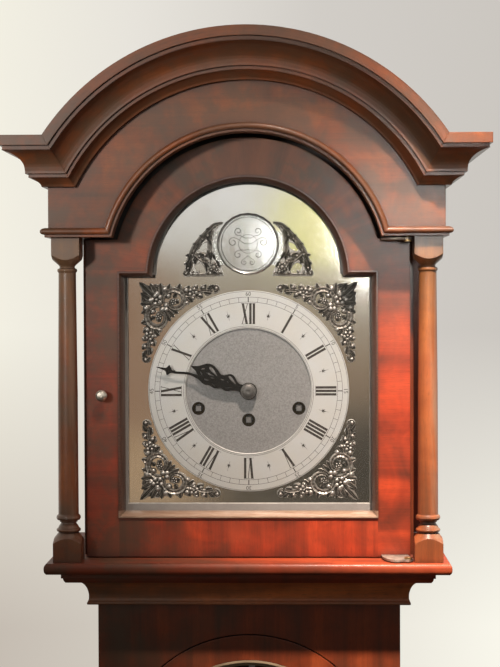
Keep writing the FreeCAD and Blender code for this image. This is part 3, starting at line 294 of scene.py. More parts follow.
def mahogany(name, way, mottle_share, shade, warmth, upper_sheen_share, polish, hollow_shade_share):
    """French-polished mahogany with ribbon figure and pores, and painted light: a browner, hazier top as painted
    reflection, pale streaks of painted reflection on the columns, and painted shade on the left, on the door head and
    in the hollows.
    """
    tones = finishes()
    paint = begin(name)
    axes = grain_axes(paint, way)
    ribbon = paint.streaks(axes, RIBBON_SCALES, 2.0, 0.5, 0.5)
    fibre = paint.streaks(axes, FIBRE_SCALES, 3.0, 0.6)
    mottle = paint.streaks(axes, MOTTLE_SCALES, 3.0, 0.6, 0.6)
    pores = paint.ramp(paint.streaks(axes, PORE_SCALES, 1.0, 0.5), (0.30, 1.0), (0.42, 0.0))
    figure = paint.line(fibre, FIBRE_SHARE, paint.times(mottle, mottle_share))
    figure = paint.line(ribbon, 1.0 - FIBRE_SHARE - mottle_share, figure)
    dark, middle, light = ([tone[0] * shade, tone[1] * shade * warmth, tone[2] * shade * warmth]
                           for tone in (tones.wood_dark, tones.wood_middle, tones.wood_light))
    colour = paint.ramp(figure, (0.36, dark), (0.50, middle), (0.62, light))
    colour = paint.choose(paint.times(pores, PORE_SHARE), colour, opaque(dark))
    # Painted reflection: the wood turns browner towards the top, where the polish reflects the pale room above.
    upper_sheen = paint.between(paint.z, *UPPER_SHEEN_HEIGHTS)
    brown = paint.put("Mix", {0: 1.0, 6: colour, 7: UPPER_SHEEN_TINT}, data_type="RGBA", blend_type="MULTIPLY")
    colour = paint.choose(upper_sheen, colour, brown.outputs[2])
    # Painted light: patches of dull grey-brown haze, over the upper wood as painted reflection of the pale room and
    # over the left side as painted shade.
    haze_patches = paint.ramp(paint.noise(paint.coords, 30.0, 5.0, 0.62), (0.38, 0.38), (0.60, 1.0))
    # Painted shade: the door head gets more of the haze, for the shadow the frieze casts over it.
    if way == "crossbanded":
        painted_head_shade = paint.times(paint.between(paint.z, *SHADED), paint.line(figure, 0.7, 0.35))
        haze_patches = paint.calc("MAXIMUM", haze_patches, painted_head_shade)
    # Painted shade: more of the haze towards the left, which stands in dimmer light.
    left = paint.between(paint.x, 0.02, -0.13, 0.24, 0.86)
    reach = paint.calc("MAXIMUM", paint.times(upper_sheen, upper_sheen_share), left)
    sheen_and_shade_haze = opaque(toned(SHEEN_AND_SHADE_HAZE, shade * SHEEN_AND_SHADE_SHARES.get(way, 1.0)))
    colour = paint.choose(paint.times(haze_patches, reach), colour, sheen_and_shade_haze)
    # Painted reflection: pale streaks on the right-facing side of the columns, where the polish catches the pale wall.
    if way == "turned":
        normal = paint.put("NewGeometry").outputs["Normal"]
        facing = paint.put("SeparateXYZ", {0: normal}).outputs[0]
        brightening = paint.ramp(paint.streaks(axes, SHEEN_STREAK_SCALES, 4.0, 0.62, 0.5), (0.40, 0.10), (0.60, 0.85))
        right = paint.ramp(facing, (0.05, 0.0), (0.42, 1.0), (0.75, 1.0), (0.95, 0.5))
        colour = paint.choose(paint.times(brightening, right), colour, opaque(SHEEN_STREAK))
    # Painted shade: the wood darkens towards black in its hollows and corners, where shade falls.
    painted_hollow_shade = paint.ramp(paint.hollow(14 * MM), (0.30, hollow_shade_share), (0.90, 0.0))
    soft = paint.softened(0.9 * MM)
    relief = paint.line(fibre, 0.5, paint.times(pores, -0.6))
    return paint.finish(
        Base_Color=paint.choose(painted_hollow_shade, colour, opaque(toned(dark, 0.30))),
        Roughness=paint.line(mottle, 0.16, 0.60 - 0.80 * polish), Specular_IOR_Level=0.36,
        Coat_Weight=polish, Coat_Roughness=0.17,
        Coat_Normal=paint.bump(paint.noise(paint.coords, 800.0, 2.0, 0.6), 0.20, 0.3 * MM, soft),
        Normal=paint.bump(relief, 0.10, 0.25 * MM, soft))


def metal(name, colour, rough, tarnish=0.35, scale=90.0, metallic=1.0, brushed=False):
    """Metal with cloudy tarnish, fine brushing, slightly softened edges and painted shade in its hollows."""
    paint = begin(name)
    cloud = paint.noise(paint.coords, scale, 4.0, 0.6)
    if brushed:
        lines = paint.streaks((paint.x, paint.y, paint.z), (3200.0, 3200.0, 60.0))
    else:
        lines = paint.noise(paint.coords, 1500.0, 2.0)
    # Painted shade: the metal darkens nearly to black in hollows and recesses, where shade falls.
    painted_hollow_shade = paint.ramp(paint.hollow(25 * MM), (0.20, 0.92), (0.75, 0.0))
    tone = paint.ramp(cloud, (0.32, toned(colour, 1.0 - tarnish)), (0.62, colour))
    return paint.finish(
        Base_Color=paint.choose(painted_hollow_shade, tone, opaque(toned(colour, 0.06))), Metallic=metallic,
        Roughness=paint.line(cloud, 0.20, rough),
        Normal=paint.bump(lines, 0.12, 0.03 * MM, paint.softened(0.25 * MM)))


def oxidised(name):
    """Dark cast brass rubbed bright on its ridges."""
    paint = begin(name)
    ridge = paint.put("NewGeometry").outputs["Pointiness"]
    cloud = paint.noise(paint.coords, 420.0, 3.0, 0.6)
    brightening = paint.line(paint.hollow(3.5 * MM, 8), 0.75, paint.times(cloud, 0.25))
    brightening = paint.line(paint.calc("SUBTRACT", ridge, 0.5), 1.2, brightening)
    tone = paint.ramp(brightening, (0.40, finishes().casting), (0.66, (0.25, 0.235, 0.208)), (0.92, (0.50, 0.485, 0.45)))
    return paint.finish(Base_Color=tone, Metallic=0.7, Roughness=paint.line(cloud, 0.25, 0.27),
                        Normal=paint.bump(cloud, 0.35, 0.12 * MM))


def dial_brass(name):
    """Brass dial plate, polished in the field and matted grey inside the ring, its edges and the walls of its holes
    nearly black as painted shade.
    """
    matting = finishes().matting
    paint = begin(name)
    reach, angle = paint.around(DIAL_X, DIAL_Z)
    front = paint.below(paint.y, DIAL_FRONT + 0.4 * MM)
    centre = paint.times(paint.below(reach, RING_RADIUS * 0.70), front)
    cloud = paint.noise(paint.coords, 26.0, 4.0, 0.6)
    field = paint.ramp(cloud, (0.30, (0.86, 0.83, 0.77)), (0.52, (0.90, 0.88, 0.84)), (0.75, (0.92, 0.91, 0.89)))
    grit = paint.noise(paint.coords, 900.0, 2.0, 0.6)
    matted = paint.ramp(grit, (0.30, toned(matting, 0.72)), (0.70, toned(matting, 1.08)))
    lines = paint.streaks((paint.x, paint.y, paint.z), (1800.0, 1.0, 25.0))
    turned_lines = paint.streaks((reach, angle, 0.0), (1500.0, 2.0, 0.0))
    height = paint.choose(centre, lines, paint.calc("ADD", turned_lines, grit), "FLOAT")
    return paint.finish(
        # Painted shade: off the front face the plate is nearly black, so its edges and hole walls read as in shade.
        Base_Color=paint.choose(front, (0.035, 0.028, 0.018, 1.0), paint.choose(centre, field, matted)),
        Metallic=paint.choose(centre, 1.0, 0.55, "FLOAT"), Roughness=paint.choose(centre, 0.07, 0.50, "FLOAT"),
        Normal=paint.bump(height, 0.16, 0.05 * MM))


def sight_edge(name):
    """Dark moulding round the hood glass, its sill pale as painted reflection and its hollows nearly black as painted
    shade.
    """
    paint = begin(name)
    # Painted reflection: the sill along the bottom of the glass is pale, for the light of the dial and glass it
    # reflects.
    sill = paint.between(paint.z, GLASS_LOW.z + 6.4 * MM, GLASS_LOW.z + 5.2 * MM)
    fibre = paint.streaks((paint.x, paint.y, paint.z), (60.0, 700.0, 700.0), 3.0, 0.6)
    dark = paint.ramp(fibre, (0.30, (0.060, 0.024, 0.013)), (0.70, (0.140, 0.050, 0.026)))
    pale = paint.ramp(fibre, (0.30, (0.29, 0.17, 0.11)), (0.70, (0.44, 0.31, 0.22)))
    # Painted shade: the moulding turns nearly black in its hollows.
    painted_hollow_shade = paint.ramp(paint.hollow(8 * MM), (0.25, 0.75), (0.80, 0.0))
    return paint.finish(
        Base_Color=paint.choose(painted_hollow_shade, paint.choose(sill, dark, pale), (0.012, 0.007, 0.005, 1.0)),
        Roughness=paint.line(fibre, 0.15, 0.25), Coat_Weight=0.4, Coat_Roughness=0.2,
        Normal=paint.bump(fibre, 0.10, 0.2 * MM, paint.softened(0.6 * MM)))


def surround(name):
    """Surround nearly black as painted shade in the gaps, and grey as painted reflection of the dial and glass where it
    shows through the door.
    """
    paint = begin(name)
    inside = paint.times(paint.below(paint.calc("ABSOLUTE", paint.x), GLASS_HIGH.x), paint.below(paint.z, SPRINGING_Z))
    inside = paint.times(inside, paint.calc("GREATER_THAN", paint.z, GLASS_LOW.z))
    arch = paint.below(paint.around(0.0, SPRINGING_Z)[0], GLASS_HIGH.z - SPRINGING_Z)
    cloud = paint.noise(paint.coords, 60.0, 4.0, 0.6)
    # Painted light: grey as painted reflection where the surround shows through the door, nearly black as painted shade
    # in the gaps.
    grey = paint.ramp(cloud, (0.3, (0.36, 0.35, 0.33)), (0.7, (0.44, 0.43, 0.41)))
    painted_gap_shade = paint.ramp(cloud, (0.3, (0.014, 0.009, 0.006)), (0.7, (0.026, 0.015, 0.009)))
    return paint.finish(Base_Color=paint.choose(paint.calc("MAXIMUM", inside, arch), painted_gap_shade, grey),
                        Roughness=paint.line(cloud, 0.2, 0.45), Normal=paint.bump(cloud, 0.15, 0.2 * MM))


def silvered(name, metallic=0.45, rough=0.38, share=1.0):
    """Dull silvering with fine turned lines and a little yellowing."""
    paint = begin(name)
    reach, angle = paint.around(DIAL_X, DIAL_Z)
    cloud = paint.noise(paint.coords, 45.0, 4.0, 0.6)
    clear = toned(finishes().silvering, share)
    warm = [clear[0], clear[1] * 0.96, clear[2] * 0.90]
    lines = paint.streaks((reach, angle, 0.0), (2400.0, 3.0, 0.0))
    return paint.finish(Base_Color=paint.ramp(cloud, (0.30, warm), (0.70, clear)), Metallic=metallic,
                        Roughness=paint.line(cloud, 0.15, rough), Normal=paint.bump(lines, 0.10, 0.04 * MM))


def wax(name):
    """Black wax and lacquer in engraved work, slightly worn."""
    black = finishes().wax
    paint = begin(name)
    cloud = paint.noise(paint.coords, 380.0, 3.0, 0.6)
    worn = [value * 2.4 + 0.02 for value in black]
    return paint.finish(Base_Color=paint.ramp(cloud, (0.45, black), (0.80, worn)), Roughness=0.55)


def pane(name):
    """Clear glass with a faint green body and streaks of polish."""
    paint = begin(name)
    smear = paint.streaks((paint.x, paint.y, paint.z), (9.0, 9.0, 4.0), 3.0, 0.5)
    return paint.finish(Base_Color=(0.10, 0.11, 0.105, 1.0), Roughness=paint.times(smear, 0.10),
                        Alpha=paint.line(smear, 0.04, 0.05), Specular_IOR_Level=1.0)


def piece_of(name, mesh, body, slot, material, *replaced):
    """Links a finished mesh, gives it its finish and lets it ride on a body."""
    piece = bpy.data.objects.new(name, mesh)
    bpy.context.scene.collection.objects.link(piece)
    mesh.materials.append(material)
    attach(piece, body)
    if replaced:
        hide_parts(*replaced)


def finish_nodes(material, *nodes):
    """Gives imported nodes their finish."""
    for node in nodes:
        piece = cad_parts.get(node)
        if piece is None:
            raise RuntimeError("no packed node named " + node)
        piece.data.materials.clear()
        piece.data.materials.append(material)


def smooth(mesh, degrees):
    for face in mesh.polygons:
        face.use_smooth = True
    mesh.set_sharp_from_angle(angle=math.radians(degrees))


def closed_mesh(name, form, degrees):
    bmesh.ops.recalc_face_normals(form, faces=form.faces)
    mesh = bpy.data.meshes.new(name)
    form.to_mesh(mesh)
    form.free()
    smooth(mesh, degrees)
    return mesh


def solid(name, form, degrees, *ride):
    """Makes a piece of a form; ride is its body, slot (not used), finish and the nodes it stands for."""
    piece_of(name, closed_mesh(name, form, degrees), *ride)


def on_dial(u, v, rise=0.0):
    """Point on the dial, from millimetres right of and above its centre."""
    return Vector((DIAL_X + u * MM, DIAL_FRONT - rise, DIAL_Z + v * MM))


def close_over(form, loops, ring=False):
    """Joins loops of points into a closed surface; a ring meets itself, others get two end faces."""
    for one, two in zip(loops, loops[1:] + loops[:1] if ring else loops[1:]):
        for n in range(len(one)):
            m = (n + 1) % len(one)
            form.faces.new((one[n], one[m], two[m], two[n]))
    if not ring:
        form.faces.new(loops[0])
        form.faces.new(list(reversed(loops[-1])))


def prism(form, points, back, front):
    """Adds a closed flat plate with the given XZ corners to a form."""
    close_over(form, [[form.verts.new((x, y, z)) for x, z in points] for y in (back, front)])


def lathe(form, rows, steps, centre_z=DIAL_Z, ring=False):
    """Adds a piece turned about a front-to-back axis from rows of radius, y and any depth of scallops."""
    loops = []
    for radius, y, *scallop in rows:
        loop = []
        for turn in (FULL_TURN * n / steps for n in range(steps)):
            reach = radius * (1.0 - sum(scallop) * abs(math.sin(turn * 12)))
            z, x = polar((centre_z, DIAL_X), reach, turn)
            loop.append(form.verts.new((x, y, z)))
        loops.append(loop)
    close_over(form, loops, ring)


def annulus(form, inner, outer, back, front, steps, centre_z=DIAL_Z):
    """Adds a flat ring about a point on the dial's middle line."""
    lathe(form, ((inner, back), (outer, back), (outer, front), (inner, front)), steps, centre_z, True)


def curve_through(points, steps):
    """Points of a smooth curve through the given ones."""
    ends = [points[0]] + list(points) + [points[-1]]
    line = []
    for n in range(len(points) - 1):
        a, b, c, d = ends[n:n + 4]
        for k in range(steps):
            t = k / steps
            line.append(tuple(q + 0.5 * ((r - p) * t + (2 * p - 5 * q + 4 * r - s) * t * t
                                         + (3 * q - p - 3 * r + s) * t ** 3) for p, q, r, s in zip(a, b, c, d)))
    line.append(tuple(points[-1]))
    return line


# Section of a cast stem: shares of its half width and of its height
STEM = ((1.0, 0.0), (0.92, 0.62), (0.55, 1.0), (0.0, 0.66), (-0.55, 1.0), (-0.92, 0.62), (-1.0, 0.0))
# Section of a leaf, the same way round
BLADE = ((-1.0, 0.30), (-0.5, 0.86), (-0.12, 0.62), (0.0, 1.0), (0.12, 0.62), (0.5, 0.86), (1.0, 0.30), (1.0, 0.0),
         (-1.0, 0.0))
LEAF_STEPS = 9
THINNEST = 0.12


def scroll(form, at, rows, rise, steps=6):
    """Adds a grooved and rippled stem on the dial from rows of right, up and half width, placed by at."""
    line = curve_through([(*at(u, v), width) for u, v, width in rows], steps)
    rings = []
    for n, (u, v, width) in enumerate(line):
        before, after = line[max(n - 1, 0)], line[min(n + 1, len(line) - 1)]
        heading = Vector((after[0] - before[0], after[1] - before[1])).normalized()
        width = max(width, THINNEST)
        tall = rise * min(1.0, width / 2.0) ** 0.5 * (0.90 + 0.10 * math.cos(1.9 * n))
        rings.append([form.verts.new(on_dial(u - heading.y * width * off, v + heading.x * width * off, tall * height))
                      for off, height in STEM])
    close_over(form, rings)


def leaf(form, base, tip, width, bend, rise):
    """Adds a pointed leaf with a raised rib; bend pushes its middle sideways."""
    base, tip = Vector(base), Vector(tip)
    side = Vector((base.y - tip.y, tip.x - base.x)).normalized()
    knee = (base + tip) / 2 + side * bend
    rows = []
    for t in (n / LEAF_STEPS for n in range(LEAF_STEPS + 1)):
        centre = base * (1 - t) ** 2 + knee * 2 * t * (1 - t) + tip * t * t
        half = width * max(math.sin(math.pi * (0.12 + 0.86 * t)) ** 0.8, 0.04) / 2
        lobe = half * (1.0 + 0.16 * math.cos(t * 7 * math.pi))
        tall = rise * (0.55 + 0.45 * math.sin(math.pi * t))
        row = []
        for offset, height in BLADE:
            at = centre + side * lobe * offset
            row.append(form.verts.new(on_dial(at.x, at.y, tall * height)))
        rows.append(row)
    close_over(form, rows)


def bud(form, centre, radius, rise, rings=5, steps=16):
    """Adds a domed bud with a small flat top."""
    loops = []
    for share in (math.pi / 2 * k / rings for k in range(rings + 1)):
        loops.append([form.verts.new(on_dial(u, v, rise * math.sin(share)))
                      for u, v in circle(centre, radius * math.cos(share * 0.92), steps)])
    close_over(form, loops)


def flower(form, centre, radius, rise, turn=0.0):
    """Adds five round petals about a raised eye."""
    for petal in range(5):
        at = polar(centre, 0.60 * radius, turn + FULL_TURN * petal / 5)
        bud(form, at, 0.43 * radius, rise * 0.84, 4, 12)
    bud(form, centre, 0.30 * radius, rise, 4, 12)


def relief(form, at, hand, leaves, buds, leaf_rise, bud_rise):
    """Lays leaves (base, tip, width, bend) and buds (centre, radius) on a casting, placed by at."""
    for u, v, tip_u, tip_v, width, bend in leaves:
        leaf(form, at(u, v), at(tip_u, tip_v), width, bend * hand, leaf_rise)
    for u, v, radius in buds:
        bud(form, at(u, v), radius, bud_rise)


def spiral(centre, radii, start_angle, turns, widths=(0.0, 0.0), count=16):
    """Rows of right, up and half width along a curl, angles in degrees."""
    rows = []
    for t in (n / count for n in range(count + 1)):
        radius = radii[0] + (radii[1] - radii[0]) * t
        angle = math.radians(start_angle + 360 * turns * t)
        rows.append((*polar(centre, radius, angle), widths[0] + (widths[1] - widths[0]) * t))
    return rows


def stood_up(curve, place, turn):
    """Mesh of a flat curve stood upright at a place and turned clockwise; the curve is used up."""
    holder = bpy.data.objects.new(curve.name, curve)
    mesh = bpy.data.meshes.new_from_object(holder)
    bpy.data.objects.remove(holder)
    bpy.data.curves.remove(curve)
    mesh.transform(Matrix.Translation(place) @ Matrix.Rotation(turn, 4, "Y") @ Matrix.Rotation(math.pi / 2, 4, "X"))
    return mesh


def cut_plate(name, outlines, thickness, bevel, turn, back):
    """Flat pierced plate from outlines in millimetres, turned clockwise about the dial centre."""
    curve = set_up(bpy.data.curves.new(name, "CURVE"), dimensions="2D", fill_mode="BOTH",
                   extrude=thickness / 2 - bevel, bevel_depth=bevel, bevel_resolution=2, offset=-bevel)
    for outline in outlines:
        line = curve.splines.new("POLY")
        line.points.add(len(outline) - 1)
        for point, (u, v) in zip(line.points, outline):
            point.co = (u * MM, v * MM, 0.0, 1.0)
        line.use_cyclic_u = True
    mesh = stood_up(curve, (DIAL_X, back - thickness / 2, DIAL_Z), turn)
    mesh.name = name
    mesh.materials.clear()
    smooth(mesh, 30.0)
    return mesh


def circle(centre, radius, count=36):
    return [polar(centre, radius, FULL_TURN * n / count) for n in range(count)]


def hand_outline(rows, steps=5):
    """Outline of a hand from rows of height, half width and any sideways shift."""
    line = curve_through([(*row, 0.0)[:3] for row in rows], steps)
    right = [(shift + half, height) for height, half, shift in line]
    left = [(shift - half, height) for height, half, shift in reversed(line)]
    return right + left


def drop(u, v, tip_u, tip_v, width, count=20):
    """Teardrop hole from a pointed base to a round end."""
    heading = Vector((tip_u - u, tip_v - v))
    side = Vector((-heading.y, heading.x)).normalized()
    points = []
    for turn in (FULL_TURN * n / count for n in range(count)):
        share = 0.5 - 0.5 * math.cos(turn)
        off = width / 2 * math.sin(turn) * (0.25 + 0.75 * share)
        points.append((u + heading.x * share + side.x * off, v + heading.y * share + side.y * off))
    return points


# Finish: way of the grain, share of mottle, depth of colour, browner tone, share of haze at the top as painted
# reflection, polish, share of painted shade in the hollows, and its nodes
WOOD_WAYS = {
    "case_upright": ("upright", 0.24, 0.78, 1.6, 0.40, 0.32, 0.88,
                     ("trunk_front_frame", "trunk_sides", "base_panels", "hood_sides")),
    "case_backboard": ("upright", 0.20, 0.50, 1.3, 0.20, 0.10, 0.88, ("backboard",)),
    "column_wood": ("turned", 0.26, 0.86, 2.35, 0.20, 0.34, 0.88, ("columns",)),
    "arched_moulding": ("arched", 0.22, 1.05, 1.2, 0.72, 0.30, 0.88, ("cornice_arch", "frieze_bead")),
    "return_moulding": ("fore_and_aft", 0.22, 1.05, 1.2, 0.72, 0.30, 0.88, ("cornice_returns",)),
    "frieze_veneer": ("level", 0.46, 1.02, 1.2, 0.78, 0.28, 0.88, ("hood_frieze", "entablature_boards")),
    "slab_moulding": ("level", 0.22, 1.0, 1.3, 0.20, 0.10, 0.20, ("hood_base_frame",)),
    "level_moulding": ("level", 0.22, 1.10, 2.0, 0.40, 0.26, 0.88, ("base_moulding", "plinth_skirting")),
    # Painted light: a lighter, warmer copy of the level moulding's wood, for light the slab keeps off the throat.
    "lit_throat_wood": ("level", 0.22, 1.80, 2.6, 0.40, 0.26, 0.45, ("throat_moulding",)),
    "roof_board": ("fore_and_aft", 0.24, 0.70, 1.2, 0.50, 0.15, 0.88, ("hood_roof", "seatboard")),
    "cross_banding": ("crossbanded", 0.36, 1.04, 1.0, 0.95, 0.25, 0.88, ("hood_door_frame",)),
    "trunk_door_wood": ("upright", 0.30, 0.78, 1.6, 0.40, 0.32, 0.88, ("trunk_door_frame",)),
}


class CLOCK_OT_polish_case(bpy.types.Operator):
    """Gives every wooden node its mahogany, with the grain the way the piece is cut"""
    bl_idname = "clock.polish_case"
    bl_label = "Polish the case"

    def execute(self, context):
        for name, (*cut, nodes) in WOOD_WAYS.items():
            finish_nodes(mahogany(name, *cut), *nodes)
        finish_nodes(surround("dial_surround"), "dial_mask")
        finish_nodes(sight_edge("sight_edge"), "sight_moulding")
        # Painted highlight: the trunk door's sight bead is pale, for the light its top catches.
        finish_nodes(metal("highlight_pale_bead", (0.60, 0.46, 0.30), 0.42, 0.25, 60.0, 0.0), "trunk_sight_bead")
        return {"FINISHED"}


class CLOCK_OT_glaze_doors(bpy.types.Operator):
    """Gives both panes clear glass"""
    bl_idname = "clock.glaze_doors"
    bl_label = "Glaze the doors"

    def execute(self, context):
        finish_nodes(pane("door_glass"), "hood_door_glass", "trunk_door_glass")
        return {"FINISHED"}


# Finish: colour (None for the brass tone), roughness, tarnish, scale of its clouds, metallic share, brushing, and
# its nodes
FITTINGS = {
    "worn_brass": (None, 0.24, 0.40, 90.0, 1.0, False, (
        "hood_hinge_pins", "trunk_hinge_door_leaves", "trunk_hinge_frame_leaves", "chime_hammers", "rating_nut")),
    "lacquered_brass": (None, 0.16, 0.15, 40.0, 1.0, False, (
        "going_barrel", "strike_barrel", "chime_barrel", "centre_wheel", "third_wheel", "escape_wheel",
        "cannon_pinion", "hour_wheel", "minute_wheel", "pendulum_bob")),
    "turned_steel": ((0.52, 0.52, 0.53), 0.26, 0.25, 120.0, 1.0, True, (
        "anchor_and_crutch", "pendulum_rod", "suspension_spring", "chime_rods")),
    "painted_iron": ((0.05, 0.05, 0.055), 0.45, 0.30, 160.0, 0.3, False, ("gong_block",)),
    "pale_knob_brass": ((0.62, 0.57, 0.49), 0.26, 0.35, 90.0, 1.0, False, (
        "hood_door_knob", "trunk_door_knob", "hand_nut")),
    "dull_strap_brass": ((0.62, 0.55, 0.46), 0.40, 0.40, 160.0, 0.6, False, ("hood_door_straps",)),
    # Painted shade: the movement plates get a nearly black brass, for the shade behind the dial that shows through its
    # holes.
    "shade_darkened_plate_brass": ((0.26, 0.18, 0.09), 0.40, 0.45, 90.0, 1.0, False, ("front_plate", "back_plate")),
    # Painted highlight: the winding arbors get a brighter steel than the other steel parts, so their ends show as
    # bright dots.
    "highlit_arbor_steel": ((0.86, 0.85, 0.82), 0.30, 0.15, 120.0, 0.6, False, (
        "winding_arbor_strike", "winding_arbor_going", "winding_arbor_chime")),
}


class CLOCK_OT_finish_fittings(bpy.types.Operator):
    """Brass and steel for hinges, knobs, movement, pendulum and chime"""
    bl_idname = "clock.finish_fittings"
    bl_label = "Finish the fittings"

    def execute(self, context):
        for name, (colour, *looks, nodes) in FITTINGS.items():
            finish_nodes(metal(name, colour or finishes().brass, *looks), *nodes)
        return {"FINISHED"}


NUMERALS = ("XII", "I", "II", "III", "IIII", "V", "VI", "VII", "VIII", "IX", "X", "XI")
# Width of each letter, then its strokes as foot, head and half thickness, as shares
LETTERS = {
    "I": (0.115, ((0.5, 0.5, 0.5),)),
    "V": (0.30, ((0.5, 0.05, 0.5), (0.5, 0.92, 0.14))),
    "X": (0.32, ((0.95, 0.05, 0.5), (0.05, 0.95, 0.14))),
}
LETTER_GAP, LETTER_THICKNESS, LETTER_SPREAD = 0.052, 0.115, 1.02
SERIF_HALF, SERIF_REACH = 0.14 * MM, 0.35 * MM
MARK_RADIUS = 69.5 * MM
# Strokes of a half-hour mark, in millimetres: inner and outer end from the mark's radius, half widths there and
# sideways shifts there
MARK_STROKES = ((-4.2, 4.6, 0.14, 0.10, 0.0, 0.0), (-1.2, 1.8, 0.9, 0.2, 0.0, 0.0), (-1.4, -1.0, 1.4, 1.4, 0.0, 0.0),
                (-1.0, 0.9, 0.16, 0.24, -0.7, -1.5), (-1.0, 0.9, 0.16, 0.24, 0.7, 1.5))
FIGURE_SIZE = 5.0 * MM


class CLOCK_OT_make_chapter_ring(bpy.types.Operator):
    """Silvered ring with its circles, minute track, hour numerals and five-minute figures"""
    bl_idname = "clock.make_chapter_ring"
    bl_label = "Make the chapter ring"

    def execute(self, context):
        size = sizes()
        steps = size.turning_steps * 2
        edge = 0.35 * MM
        form = bmesh.new()
        lathe(form, ((RING_BORE, DIAL_FRONT), (RING_RADIUS, DIAL_FRONT), (RING_RADIUS, RING_FRONT + edge),
                     (RING_RADIUS - edge, RING_FRONT), (RING_BORE + edge, RING_FRONT),
                     (RING_BORE, RING_FRONT + edge)), steps, ring=True)
        solid("silvered_chapter_ring", form, 30.0, "case", "silvered_brass", silvered("silvered_ring"), "chapter_ring")
        form = bmesh.new()
        half = size.engraving_width / 2
        for radius in (size.track_inner, size.track_outer, RING_RADIUS - 0.9 * MM, RING_BORE + 0.9 * MM,
                       RING_BORE + 2.2 * MM):
            annulus(form, radius - half, radius + half, RING_FRONT, RING_FRONT - size.engraving_rise, steps)
        for minute in range(60):
            wide = 0.16 * MM if minute % 5 else 0.42 * MM
            self.stroke(form, FULL_TURN * minute / 60, size.track_inner + half, size.track_outer - half, wide, wide)
        for hour, letters in enumerate(NUMERALS):
            self.numeral(form, letters, FULL_TURN * hour / 12)
            for start, end, *widths in MARK_STROKES:
                self.stroke(form, FULL_TURN * (hour + 0.5) / 12, MARK_RADIUS + start * MM, MARK_RADIUS + end * MM,
                            *toned(widths, MM))
        black = wax("dial_black_wax")
        solid("ring_numerals", form, 30.0, "case", "blued_steel", black)
        solid("five_minute_figures", self.figures(), 30.0, "case", "blued_steel", black)
        return {"FINISHED"}

    def stroke(self, form, angle, start, end, half_start, half_end, shift_start=0.0, shift_end=0.0):
        """Adds a straight stroke of wax along a radius."""
        out = Vector((math.sin(angle), math.cos(angle)))
        side = Vector((out.y, -out.x))
        corners = [out * start + side * (shift_start - half_start), out * start + side * (shift_start + half_start),
                   out * end + side * (shift_end + half_end), out * end + side * (shift_end - half_end)]
        prism(form, [(DIAL_X + c.x, DIAL_Z + c.y) for c in corners], RING_FRONT, RING_FRONT - sizes().engraving_rise)

    def numeral(self, form, letters, angle):
        """Thick and thin strokes between two circles, feet towards the centre, with a serif line at both ends."""
        size = sizes()
        tall = size.numeral_outer - size.numeral_inner
        widths = [LETTERS[letter][0] * tall for letter in letters]
        total = sum(widths) + LETTER_GAP * tall * (len(letters) - 1)
        left = -total / 2
        for letter, width in zip(letters, widths):
            for foot, head, share in LETTERS[letter][1]:
                half = LETTER_THICKNESS * tall * share
                inner = left + half + (width - 2 * half) * foot
                outer = left + half + (width - 2 * half) * head
                self.stroke(form, angle, size.numeral_inner, size.numeral_outer, half, half, inner,
                            outer * LETTER_SPREAD)
            left += width + LETTER_GAP * tall
        reach = total / 2 + SERIF_REACH
        for radius in (size.numeral_inner, size.numeral_outer):
            self.stroke(form, angle, radius - SERIF_HALF, radius + SERIF_HALF, reach, reach)

    def figures(self):
        """Form of the five-minute figures outside the track."""
        size = sizes()
        radius = (size.track_outer + RING_RADIUS) / 2 - 0.3 * MM
        form = bmesh.new()
        for count in range(1, 13):
            figure = set_up(bpy.data.curves.new("figure", "FONT"), body=str(count * 5), size=FIGURE_SIZE,
                            align_x="CENTER", align_y="CENTER", extrude=size.engraving_rise / 2, resolution_u=3)
            angle = FULL_TURN * count / 12
            z, x = polar((DIAL_Z, DIAL_X), radius, angle)
            mesh = stood_up(figure, (x, RING_FRONT - size.engraving_rise / 2, z), angle)
            form.from_mesh(mesh)
            bpy.data.meshes.remove(mesh)
        bmesh.ops.remove_doubles(form, verts=form.verts, dist=0.002 * MM)
        return form


class CLOCK_OT_finish_dial_plate(bpy.types.Operator):
    """Brass dial plate with a matted centre"""
    bl_idname = "clock.finish_dial_plate"
    bl_label = "Finish the dial plate"

    def execute(self, context):
        finish_nodes(dial_brass("dial_plate_brass"), "dial_plate")
        return {"FINISHED"}


# One arm of a corner casting, in millimetres right of and above the dial centre
ARM_LEAVES = (
    (82, 80, 96.5, 88, 7.6, -1.6), (84, 77, 96.8, 78.4, 7.4, 0.8), (83, 73, 96, 70, 7.6, 1.2),
    (76, 72, 69.6, 62.6, 6, -0.6), (88, 64, 96.2, 61, 6.6, -0.8), (87, 57, 94.4, 52.4, 6.8, 0.8),
    (85.4, 56, 79.6, 49.6, 6, 0.8), (88.4, 50, 94.6, 45, 6.2, 0.8), (86.4, 47, 84, 40.2, 5.6, -0.6),
    (90, 42.6, 95.4, 37.4, 5.6, 0.6), (88.6, 39.4, 87.2, 33, 4.6, -0.5), (91, 36, 95.2, 31, 4.6, 0.5),
    (82, 66, 78.4, 62.2, 4.6, 0.4), (84, 67, 87.6, 64, 4.2, -0.4))
ARM_BUDS = ((87.4, 81.6, 3.2), (91.4, 74.6, 3.2), (85.4, 71.4, 2.6), (76.8, 73.4, 3.0), (79.4, 55.0, 2.4),
            (90.6, 55.4, 2.8), (83.4, 49.6, 2.0), (94.0, 47.0, 1.8), (86.2, 43.0, 2.3), (92.8, 40.2, 2.1),
            (92.2, 28.4, 2.1))
ARM_LOOP = ((78.0, 76.6, 1.6), (84.0, 76.4, 2.4), (88.8, 72.6, 2.8), (90.6, 66.4, 3.0), (88.0, 59.8, 3.0),
            (81.8, 57.2, 2.8), (76.2, 59.8, 2.5), (74.0, 65.4, 2.2), (76.4, 70.0, 1.9), (80.6, 69.6, 1.6),
            (81.6, 66.4, 1.4))
